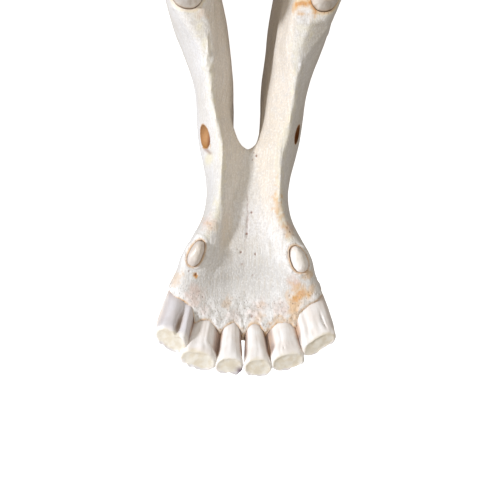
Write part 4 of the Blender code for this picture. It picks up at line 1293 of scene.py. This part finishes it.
def mark_bone(bone):
    """Stores where the bone is stained, flushed, porous, hollow, pitted and yellowed, where painted shade
    greys its front shelf and warms its inner faces, and where painted shadow darkens one wall of each foramen.
    """
    points, normals = read_points(bone.data)
    places = straightened(jaw_places(points))
    x, along, height = places.T
    wander = np.column_stack([lumps(places, (2.6, 3.2, 2.6), 2, shift) for shift in (3.0, 11.0)])
    fine_wander = np.column_stack([lumps(places, (1.1, 1.3, 1.1), 2, shift) for shift in (23.0, 31.0)])
    flat = places[:, :2] + 1.5 * wander + 0.9 * fine_wander
    upper = ramp(height, 25, 35)
    sockets = socket_distances(places)
    stain, porous, sunk = socket_marks(sockets, wander[:, 0])
    between = ramp(along, 17.5, 15.0) * ramp(height, 47, 44.5) * ramp(height, 30, 38) * ramp(np.abs(x), 24, 20)
    holes, deep = foramen_marks(places)
    _, dark = pit_depths(places)
    crest = line_distance(np.column_stack((np.abs(flat[:, 0]), flat[:, 1])), CREST_LINE)
    yellow = near(crest, 0, 1.1) * ramp(height, 40, 46) * ramp(along, 132, 126) * (0.55 + 0.45 * wander[:, 1])
    yellow = np.maximum(yellow, 1.5 * near(np.hypot(x + 15.5, 0.6 * (along - 79.0)), 0, 1.2) * upper)
    for label, _ in SIDES:
        rim = near(sockets[f"premolar_2_{label}"][0], 0.7, 0.5) * (along < 136)
        yellow = np.maximum(yellow, rim * (1 + 0.9 * fine_wander[:, 0]))
    # Painted warm shade on the faces that look in towards the middle of the jaw; on the right side only behind
    # the trough
    facing_in_shade = ramp(-normals[:, 0] * np.sign(x), 0.15, 0.6) * ramp(along, 330, 290)
    facing_in_shade *= np.where(x < 0, 0.5 * ramp(along, 66, 92), ramp(along, 46, 74))
    # Painted shade down the trough's right wall, which faces away from the light
    groove = near(along, 53, 9) * ramp(x, -5.0, -7.0) * ramp(x, -11.5, -9.5) * upper
    # Greyer over the front shelf, as painted shade; further back, the right side's outer face is greyed a
    # little too
    front_shade_grey = ramp(along, 52, 36) * ramp(np.abs(x), 26, 20)
    right_grey = 0.7 * ramp(along, 84, 66) * ramp(x, -9, -11)
    marks = {
        "stain": np.maximum.reduce((stain, patches(flat, STAINS) * upper, 0.75 * between)),
        "blush": patches(flat, BLUSHES) * upper,
        "porous": porous,
        "hollow": np.maximum(sunk, holes),
        # Painted shadow inside the foramina
        "deep": deep,
        "inner_face_shade": np.maximum(facing_in_shade, groove),
        "front_shade_grey": 0.8 * np.maximum(front_shade_grey, right_grey) * upper,
        "pits": dark * ramp(normals[:, 2], -0.4, 0.2),
        "yellow": yellow,
    }
    for name, values in marks.items():
        store(bone.data, name, values)


# Finishes


def tone(red, green, blue):
    """A colour from its screen values, 0 to 255."""
    return tuple((v / 255) ** 2.2 for v in (red, green, blue)) + (1.0,)


class Finish:
    """A material built step by step: each call adds a node and gives back its output."""

    def __init__(self, name, roughness, specular):
        self.material = bpy.data.materials.new(name)
        self.material.use_nodes = True
        self.nodes = self.material.node_tree.nodes
        self.links = self.material.node_tree.links
        self.shader = self.nodes["Principled BSDF"]
        self.shader.inputs["Roughness"].default_value = roughness
        self.shader.inputs["Specular IOR Level"].default_value = specular
        self.places = self.nodes.new("ShaderNodeTexCoord").outputs["Object"]

    def feed(self, socket, value):
        """Gives the socket a value, or what another node gives."""
        if isinstance(value, bpy.types.NodeSocket):
            self.links.new(value, socket)
        else:
            socket.default_value = value

    def stretched(self, sizes):
        """The places, measured in millimetres divided by these sizes."""
        mapping = self.nodes.new("ShaderNodeMapping")
        mapping.inputs["Scale"].default_value = [1 / (size * MM) for size in sizes]
        self.links.new(self.places, mapping.inputs["Vector"])
        return mapping.outputs["Vector"]

    def cloudy(self, sizes, detail, roughness=0.5):
        """Cloudy noise from 0 to 1, with lumps of these sizes in millimetres."""
        texture = self.nodes.new("ShaderNodeTexNoise")
        self.links.new(self.stretched(sizes), texture.inputs["Vector"])
        texture.inputs["Scale"].default_value = 1.0
        texture.inputs["Detail"].default_value = detail
        texture.inputs["Roughness"].default_value = roughness
        return texture.outputs["Fac"]

    def cells(self, sizes):
        """How far the places lie from the middle of the nearest of many cells of these sizes."""
        texture = self.nodes.new("ShaderNodeTexVoronoi")
        self.links.new(self.stretched(sizes), texture.inputs["Vector"])
        texture.inputs["Scale"].default_value = 1.0
        return texture.outputs["Distance"]

    def kept(self, name):
        """The numbers that the piece's points keep under this name."""
        attribute = self.nodes.new("ShaderNodeAttribute")
        attribute.attribute_name = name
        return attribute.outputs["Fac"]

    def between(self, value, low, high, to_low=0.0, to_high=1.0):
        """Turns low to high smoothly into to_low to to_high."""
        remap = self.nodes.new("ShaderNodeMapRange")
        remap.interpolation_type = "SMOOTHSTEP"
        self.feed(remap.inputs["Value"], value)
        for name, number in (("From Min", low), ("From Max", high), ("To Min", to_low), ("To Max", to_high)):
            remap.inputs[name].default_value = number
        return remap.outputs["Result"]

    def times(self, first, second):
        """The product of two values."""
        step = self.nodes.new("ShaderNodeMath")
        step.operation = "MULTIPLY"
        self.feed(step.inputs[0], first)
        self.feed(step.inputs[1], second)
        return step.outputs[0]

    def tint(self, share, under, over):
        """A share of the colour over, and the rest of the colour under."""
        mix = self.nodes.new("ShaderNodeMix")
        mix.data_type = "RGBA"
        mix.clamp_factor = True
        self.feed(mix.inputs[0], share)
        self.feed(mix.inputs[6], under)
        self.feed(mix.inputs[7], over)
        return mix.outputs[2]

    def raised(self, height, distance, strength, below=None):
        """Fine relief of this many millimetres, on top of the relief below."""
        bump = self.nodes.new("ShaderNodeBump")
        bump.inputs["Strength"].default_value = strength
        bump.inputs["Distance"].default_value = distance * MM
        self.feed(bump.inputs["Height"], height)
        if below is not None:
            self.links.new(below, bump.inputs["Normal"])
        return bump.outputs["Normal"]

    def done(self, colour, roughness, relief):
        """The material, with its colour, roughness and fine relief."""
        for name, value in (("Base Color", colour), ("Roughness", roughness), ("Normal", relief)):
            self.links.new(value, self.shader.inputs[name])
        return self.material


BONE_CREAM = tone(225, 218, 208)
BONE_WHITE = tone(234, 230, 227)
BONE_GREY = tone(207, 203, 200)
BONE_TAN = tone(209, 198, 182)
BONE_CHALK = tone(246, 243, 240)
# Warm tone of the painted shade on the inner faces
BONE_INNER_SHADE = tone(225, 210, 190)
# Grey of the painted shade on the front shelf, also laid on the right side's outer face
BONE_SHADE_GREY = tone(213, 210, 206)
BONE_PORE = tone(176, 148, 118)
BONE_YELLOW = tone(234, 222, 180)
BONE_BLUSH = tone(222, 180, 160)
BONE_OCHRE = tone(215, 166, 100)
BONE_RUST = tone(200, 120, 50)
BONE_PIT = tone(128, 74, 44)
BONE_HOLLOW = tone(182, 130, 72)
# Dark brown of the painted shadow in the foramina
BONE_FORAMEN_SHADOW = tone(112, 60, 36)


def bone_finish():
    """Dry pale bone with fibres, mottling and pores, flushed and stained where its points say so, with painted
    shade on its inner faces and front shelf and painted shadow in its foramina.
    """
    bone = Finish("dry bone", 0.6, 0.35)
    clouds = bone.cloudy((16, 26, 16), 4.0)
    fibres = bone.cloudy((0.55, 6, 0.55), 3.0, 0.6)
    mottle = bone.cloudy((2.4, 3.2, 2.4), 4.0, 0.65)
    flecks = bone.cloudy((0.65, 0.8, 0.65), 2.0, 0.6)
    colour = bone.tint(bone.between(clouds, 0.35, 0.65), BONE_CREAM, BONE_WHITE)
    # Painted warm shade on the inward faces and down the trough's right wall
    colour = bone.tint(bone.times(bone.kept("inner_face_shade"), 0.75), colour, BONE_INNER_SHADE)
    # Painted shade greying the front shelf, and a little grey on the right side's outer face
    colour = bone.tint(bone.kept("front_shade_grey"), colour, BONE_SHADE_GREY)
    colour = bone.tint(bone.between(mottle, 0.45, 0.7, 0, 0.4), colour, BONE_GREY)
    colour = bone.tint(bone.between(fibres, 0.46, 0.66, 0, 0.5), colour, BONE_TAN)
    colour = bone.tint(bone.between(fibres, 0.44, 0.3, 0, 0.4), colour, BONE_CHALK)
    colour = bone.tint(bone.between(flecks, 0.52, 0.66, 0, 0.45), colour, BONE_GREY)
    colour = bone.tint(bone.between(flecks, 0.46, 0.34, 0, 0.45), colour, BONE_CHALK)
    porous = bone.kept("porous")
    colour = bone.tint(bone.times(porous, bone.between(mottle, 0.4, 0.57, 0.0, 0.9)), colour, BONE_CHALK)
    pores = bone.between(bone.cells((0.8, 1.1, 0.8)), 0.14, 0.27, 1.0, 0.0)
    speckle = bone.times(pores, bone.between(bone.cloudy((3, 4, 3), 2.0), 0.45, 0.6))
    colour = bone.tint(bone.times(speckle, bone.between(porous, 0, 1, 0.12, 0.4)), colour, BONE_PORE)
    colour = bone.tint(bone.times(bone.kept("yellow"), 0.5), colour, BONE_YELLOW)
    blush, stain = bone.kept("blush"), bone.kept("stain")
    colour = bone.tint(bone.times(blush, bone.between(mottle, 0.3, 0.6, 0.25, 0.8)), colour, BONE_BLUSH)
    colour = bone.tint(bone.times(stain, bone.between(mottle, 0.3, 0.6, 0.55, 1.0)), colour, BONE_OCHRE)
    colour = bone.tint(bone.between(stain, 0.75, 1.1, 0.0, 0.6), colour, BONE_RUST)
    colour = bone.tint(bone.kept("pits"), colour, BONE_PIT)
    colour = bone.tint(bone.kept("hollow"), colour, BONE_HOLLOW)
    # Painted shadow on one wall of each foramen
    colour = bone.tint(bone.kept("deep"), colour, BONE_FORAMEN_SHADOW)
    grain = bone.raised(fibres, 0.16, 0.8)
    grain = bone.raised(flecks, 0.16, 0.9, grain)
    grain = bone.raised(mottle, 0.18, 0.5, grain)
    grain = bone.raised(bone.times(pores, bone.between(porous, 0, 1, 0.1, 1.0)), -0.25, 0.8, grain)
    return bone.done(colour, bone.between(mottle, 0.3, 0.7, 0.5, 0.72), grain)


ENAMEL_CREAM = tone(243, 234, 226)
ENAMEL_WHITE = tone(251, 247, 243)
ENAMEL_STREAK = tone(214, 203, 188)
# Violet-grey of the painted shade on the incisors
ENAMEL_LILAC_SHADE = tone(198, 193, 198)
# Brown of the painted shade in the incisors' folds, also laid evenly over the canines
ENAMEL_FOLD = tone(176, 154, 134)
DENTINE_TAN = tone(226, 213, 188)
DENTINE_PALE = tone(239, 231, 215)
FLANK_TAN = tone(190, 144, 100)
# Brown of the incisors' flanks between the teeth: partly stain, partly painted shade
FLANK_BROWN_SHADE = tone(132, 98, 80)
CHIP_GREY = tone(112, 92, 104)


def front_tooth_finish():
    """Pale streaked enamel with brown flanks that are partly stain and partly painted shade, painted shade in
    the folds and a painted violet-grey shade, and tan dentine in the worn tables.
    """
    tooth = Finish("incisor enamel and dentine", 0.35, 0.5)
    clouds = tooth.cloudy((4, 6, 4), 4.0)
    streaks = tooth.cloudy((0.7, 7, 7), 3.0)
    colour = tooth.tint(tooth.between(clouds, 0.35, 0.65), ENAMEL_CREAM, ENAMEL_WHITE)
    colour = tooth.tint(tooth.between(streaks, 0.5, 0.75, 0, 0.25), colour, ENAMEL_STREAK)
    # Painted violet-grey shade
    colour = tooth.tint(tooth.kept("lilac_shade"), colour, ENAMEL_LILAC_SHADE)
    # Painted shade in the folds' grooves; on the canines an even grey
    colour = tooth.tint(tooth.kept("fold"), colour, ENAMEL_FOLD)
    blotches = tooth.cloudy((2.2, 2.2, 2.2), 3.0)
    dentine = tooth.tint(tooth.between(blotches, 0.36, 0.64), DENTINE_TAN, DENTINE_PALE)
    colour = tooth.tint(tooth.times(tooth.kept("worn"), 0.85), colour, dentine)
    # Brown flanks between the teeth, partly stain and partly painted shade
    flank = tooth.tint(tooth.between(streaks, 0.35, 0.6), FLANK_TAN, FLANK_BROWN_SHADE)
    colour = tooth.tint(tooth.kept("side_stain_and_shade"), colour, flank)
    colour = tooth.tint(tooth.kept("chip"), colour, CHIP_GREY)
    relief = tooth.raised(streaks, 0.10, 0.35)
    relief = tooth.raised(tooth.cloudy((1.1, 1.1, 1.1), 3.0), 0.08, 0.5, relief)
    return tooth.done(colour, tooth.between(clouds, 0.3, 0.7, 0.3, 0.46), relief)


CEMENT_TAN = tone(216, 205, 194)
CEMENT_PALE = tone(232, 224, 215)
CEMENT_STREAK = tone(176, 156, 130)
CHEEK_DENTINE = tone(150, 118, 78)
CHEEK_ENAMEL = tone(232, 226, 212)
CHEEK_STAIN = tone(186, 150, 104)


def cheek_finish():
    """Streaked cement on the sides, and brown dentine between pale enamel folds on the grinding face."""
    tooth = Finish("cheek tooth cement and enamel", 0.5, 0.45)
    clouds = tooth.cloudy((6, 6, 9), 4.0)
    streaks = tooth.cloudy((1.4, 1.4, 11), 3.0)
    colour = tooth.tint(tooth.between(clouds, 0.35, 0.65), CEMENT_TAN, CEMENT_PALE)
    colour = tooth.tint(tooth.between(streaks, 0.48, 0.7, 0, 0.4), colour, CEMENT_STREAK)
    colour = tooth.tint(tooth.kept("worn"), colour, CHEEK_DENTINE)
    colour = tooth.tint(tooth.kept("enamel"), colour, CHEEK_ENAMEL)
    colour = tooth.tint(tooth.kept("side_stain_and_shade"), colour, CHEEK_STAIN)
    relief = tooth.raised(streaks, 0.25, 0.5)
    relief = tooth.raised(tooth.cloudy((1.2, 1.2, 1.2), 3.0), 0.12, 0.5, relief)
    return tooth.done(colour, tooth.between(clouds, 0.3, 0.7, 0.38, 0.6), relief)


# Putting the pieces together

# Edges that turn by more than this stay sharp, in degrees
BONE_CRISPNESS = 45
TOOTH_CRISPNESS = 60


def finish_piece(piece, material, slot, *nodes):
    """Gives the piece its material, and says what it rides on and which nodes it replaces."""
    piece.data.materials.clear()
    piece.data.materials.append(material)
    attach(piece, "root")
    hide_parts(*nodes)


def build_bone():
    """The lower jaw bone, with its sockets cut and its marks stored."""
    bone = rough_bone()
    work_relief(bone)
    thin_out(bone, MOST_TRIANGLES)
    cut_sockets(bone)
    mark_bone(bone)
    crisp(bone.data, BONE_CRISPNESS)
    finish_piece(bone, bone_finish(), "bone", "mandible")


def mark_incisor(tooth, name, shape):
    """Stores where an incisor is worn, stained and chipped, and where painted shade darkens it: violet-grey on
    its inner face and outer side, and in its folds.
    """
    points, _ = read_points(tooth.data)
    centre, axis, wide_way, deep_way, table_way = (np.array(way) for way in incisor_ways(shape))
    off = (points - centre) / MM
    down = -off @ axis
    half_width, half_depth = incisor_size(shape, np.clip(down, 0, INCISOR_LENGTH))
    u, v = off @ wide_way / half_width, off @ deep_way / half_depth
    wide = u / flared(shape, u, v, down)
    on_table = np.abs(off @ table_way) < 0.9
    wavy = lumps(points / MM, (1.8, 1.8, 1.8), 2, 7.0 * shape[0])
    rim = oval_size(wide, v, CROWN_OVAL) + 0.05 * wavy + 0.1 * ramp(v, 0.0, 0.6) * (1 + wavy)
    lateral = 0.2 if name.startswith("incisor_3") else 1.0
    # Brown on the flanks where the teeth meet: partly real stain, partly painted shade between the teeth
    flank = np.maximum(ramp(-wide, 0.86, 0.98), lateral * ramp(wide, 0.86, 0.98)) * ramp(v, 1.05, 0.8)
    flank *= ~on_table * ramp(down, 1, 5)
    # Painted violet-grey shade on the inner face, strongest on the right third incisor, and a band of it on
    # the outer side
    lilac_shade = 0.65 if name == "incisor_3_right" else 0.12
    chipped = near(u, -0.85, 0.3) * near(v, 0.5, 0.5) * ramp(down, 3, 1)
    marks = {
        "worn": ramp(rim, 0.98, 0.84) * on_table,
        "side_stain_and_shade": np.maximum(0.75 * flank, 0.5 * ramp(down, 13, 20)),
        "lilac_shade": lilac_shade * ramp(v, 0.2, -0.4) * ramp(down, 1.5, 4) + 0.5 * ramp(v, 0.6, 0.9),
        # Painted shade in the grooves of the folds, darker the deeper the groove
        "fold": ramp(-fold_height(name, u, down), 0.25, 2.4) * ramp(v, 0.1, -0.4),
        "chip": chipped * (name == "incisor_1_right"),
    }
    for mark, values in marks.items():
        store(tooth.data, mark, values)


def build_incisors(material):
    """The six worn incisors."""
    for name, shape in INCISORS.items():
        bm = bmesh.new()
        loft(bm, incisor_rings(name, shape))
        tooth = new_piece(f"worn_{name}", bm)
        mark_incisor(tooth, name, shape)
        crisp(tooth.data, TOOTH_CRISPNESS)
        finish_piece(tooth, material, "front_teeth", name)


def build_canines(material):
    """The two small canines, with a rough worn top."""
    for name, shape in CANINES.items():
        bm = bmesh.new()
        loft(bm, canine_rings(shape))
        tooth = new_piece(f"worn_{name}", bm)
        points, normals = read_points(tooth.data)
        height = points[:, 2] / MM
        relief = 0.16 * lumps(points / MM, (1.6, 2.2, 1.6), 3, shape[0] * 5.0) * ramp(height, 52, 54)
        points += normals * relief[:, None] * MM
        write_points(tooth.data, points)
        store(tooth.data, "worn", 0.45 * ramp(height, 55.5, 57.5))
        store(tooth.data, "side_stain_and_shade", 0.7 * ramp(height, 54.4, 52.8))
        for mark, value in (("fold", 0.48 if shape[0] < 0 else 0.08), ("lilac_shade", 0.0), ("chip", 0.0)):
            store(tooth.data, mark, np.full(len(points), value))
        crisp(tooth.data, TOOTH_CRISPNESS)
        finish_piece(tooth, material, "front_teeth", name)


def enamel_lines(name, length, width):
    """The lines of enamel on a cheek tooth's grinding face: one round it, and those of the folds inside it."""
    outline = [(p.x * length / 2 * 0.9, p.y * width / 2 * 0.9) for p in cheek_outline(name, 3)]
    folds = [filled_in([(a * length / 2, b * width / 2) for a, b in line], 4) for line in ENAMEL_LINES]
    return [outline + outline[:1], *folds]


def wear_cheek_tooth(tooth, name, length, width, start, side):
    """Sinks the dentine between the enamel on a cheek tooth's grinding face, and stores where each is."""
    points, _ = read_points(tooth.data)
    centre, along, across, up, crown = cheek_ways(length, start)
    off = (points * (side, 1, 1) - np.array(centre)) / MM
    u, v, rise = (off @ np.array(way) for way in (along, across, up))
    rise += CROWN_SLOPE * v
    flat = np.column_stack((u, v))
    away = np.minimum.reduce([line_distance(flat, line) for line in enamel_lines(name, length, width)])
    worn = ramp(rise, crown - 0.5, crown - 0.1)
    enamel = near(away, 0, 0.42) * worn
    hollow = (1 - near(away, 0, 0.8)) * worn
    lower = 0.9 * hollow + 0.25 * worn * lumps(flat @ np.eye(2, 3), (2.5, 2.5, 1), 2, start)
    points -= (np.array(up) * (side, 1, 1)) * (lower - 0.15 * enamel)[:, None] * MM
    write_points(tooth.data, points)
    store(tooth.data, "enamel", enamel)
    store(tooth.data, "worn", 0.8 * worn)
    under_edge = ramp(rise, crown - 3, crown - 1) * (1 - worn)
    store(tooth.data, "side_stain_and_shade", 0.5 * ramp(rise, 3, 0) + 0.25 * under_edge)


def build_cheek_teeth(material):
    """The two rows of six cheek teeth, each tooth moved with the real bone round it."""
    for label, side in SIDES:
        for name, length, width, start in cheek_teeth():
            bm = bmesh.new()
            loft(bm, mirrored(cheek_rings(name, length, width, start, side), side))
            tooth = new_piece(f"worn_{name}_{label}", bm)
            wear_cheek_tooth(tooth, name, length, width, start, side)
            lean(tooth)
            crisp(tooth.data, TOOTH_CRISPNESS)
            finish_piece(tooth, material, "cheek_teeth", f"{name}_{label}")


# Floor, light and camera


def build_floor():
    """A pale floor that glows a little, and throws no light on the jaw."""
    bm = bmesh.new()
    bmesh.ops.create_grid(bm, x_segments=1, y_segments=1, size=3.0)
    floor = new_piece("pale_floor", bm)
    paint = bpy.data.materials.new("pale floor")
    paint.use_nodes = True
    shader = paint.node_tree.nodes["Principled BSDF"]
    shader.inputs["Base Color"].default_value = (0.9, 0.9, 0.9, 1)
    shader.inputs["Roughness"].default_value = 0.9
    shader.inputs["Emission Color"].default_value = (1, 1, 1, 1)
    shader.inputs["Emission Strength"].default_value = 0.9
    floor.data.materials.append(paint)
    floor.visible_diffuse = False
    floor.visible_glossy = False


# Strength of the light from the whole room, and the window's power in watts
FILL = 0.575
KEY = 10.0


def build_room_light():
    """Soft light from all sides: warm and dim from below, brighter from above and off a pale wall."""
    world = bpy.data.worlds.new("soft room light")
    bpy.context.scene.world = world
    world.use_nodes = True
    nodes, links = world.node_tree.nodes, world.node_tree.links
    background = nodes["Background"]
    background.inputs["Strength"].default_value = FILL
    around = nodes.new("ShaderNodeTexCoord").outputs["Generated"]
    way = nodes.new("ShaderNodeSeparateXYZ")
    links.new(around, way.inputs[0])
    half = nodes.new("ShaderNodeMath")
    half.operation = "MULTIPLY_ADD"
    half.inputs[1].default_value = half.inputs[2].default_value = 0.5
    links.new(way.outputs["Z"], half.inputs[0])
    rise = nodes.new("ShaderNodeValToRGB")
    lower, upper = rise.color_ramp.elements
    lower.position, upper.position = 0.4, 0.62
    lower.color, upper.color = (0.36, 0.32, 0.28, 1), (0.98, 0.94, 0.87, 1)
    links.new(half.outputs[0], rise.inputs["Fac"])
    wall_side = nodes.new("ShaderNodeVectorMath")
    wall_side.operation = "DOT_PRODUCT"
    wall_side.inputs[1].default_value = (-0.82, -0.55, -0.1)
    links.new(around, wall_side.inputs[0])
    pale_wall = nodes.new("ShaderNodeMapRange")
    pale_wall.inputs["From Min"].default_value = 0.45
    pale_wall.inputs["From Max"].default_value = 1.0
    links.new(wall_side.outputs["Value"], pale_wall.inputs["Value"])
    bounced = nodes.new("ShaderNodeMix")
    bounced.data_type = "RGBA"
    bounced.blend_type = "ADD"
    links.new(pale_wall.outputs["Result"], bounced.inputs[0])
    links.new(rise.outputs["Color"], bounced.inputs[6])
    bounced.inputs[7].default_value = (0.9, 1.0, 1.2, 1)
    links.new(bounced.outputs[2], background.inputs["Color"])


def build_window():
    """A large soft window low on the animal's right, aimed at the front of the jaw."""
    lamp = bpy.data.lights.new("soft window", "AREA")
    lamp.shape = "DISK"
    lamp.size = 0.13
    lamp.energy = KEY
    lamp.color = (0.89, 0.93, 1.0)
    window = bpy.data.objects.new("soft window", lamp)
    way = Vector((-0.80, 0.12, 0.55)).normalized()
    window.location = place(0, 50, 50) + way * 1.1
    window.rotation_euler = way.to_track_quat("Z", "Y").to_euler()
    bpy.context.scene.collection.objects.link(window)


def build_camera():
    """Looks straight down on the front of the jaw from 0.4 m, a little from the animal's right."""
    aim, distance, seen = place(-3.1, 49.5, 50), 0.4, 172.8
    leaning, rolled = math.radians(-4.5), math.radians(1.95)
    back = Vector((math.sin(leaning), 0, math.cos(leaning)))
    up = Vector((0, 1, 0))
    turned = Matrix((up.cross(back), up, back)).transposed().to_4x4() @ Matrix.Rotation(rolled, 4, "Z")
    turned.translation = aim + back * distance
    lens = bpy.data.cameras.new("camera")
    lens.sensor_width = 36
    lens.lens = lens.sensor_width * distance / (seen * MM)
    lens.clip_start = 0.01
    camera = bpy.data.objects.new("camera", lens)
    camera.matrix_world = turned
    bpy.context.scene.collection.objects.link(camera)
    bpy.context.scene.camera = camera


build_bone()
front_finish = front_tooth_finish()
build_incisors(front_finish)
build_canines(front_finish)
build_cheek_teeth(cheek_finish())
build_floor()
build_room_light()
build_window()
build_camera()
bpy.context.scene.view_settings.view_transform = "Standard"
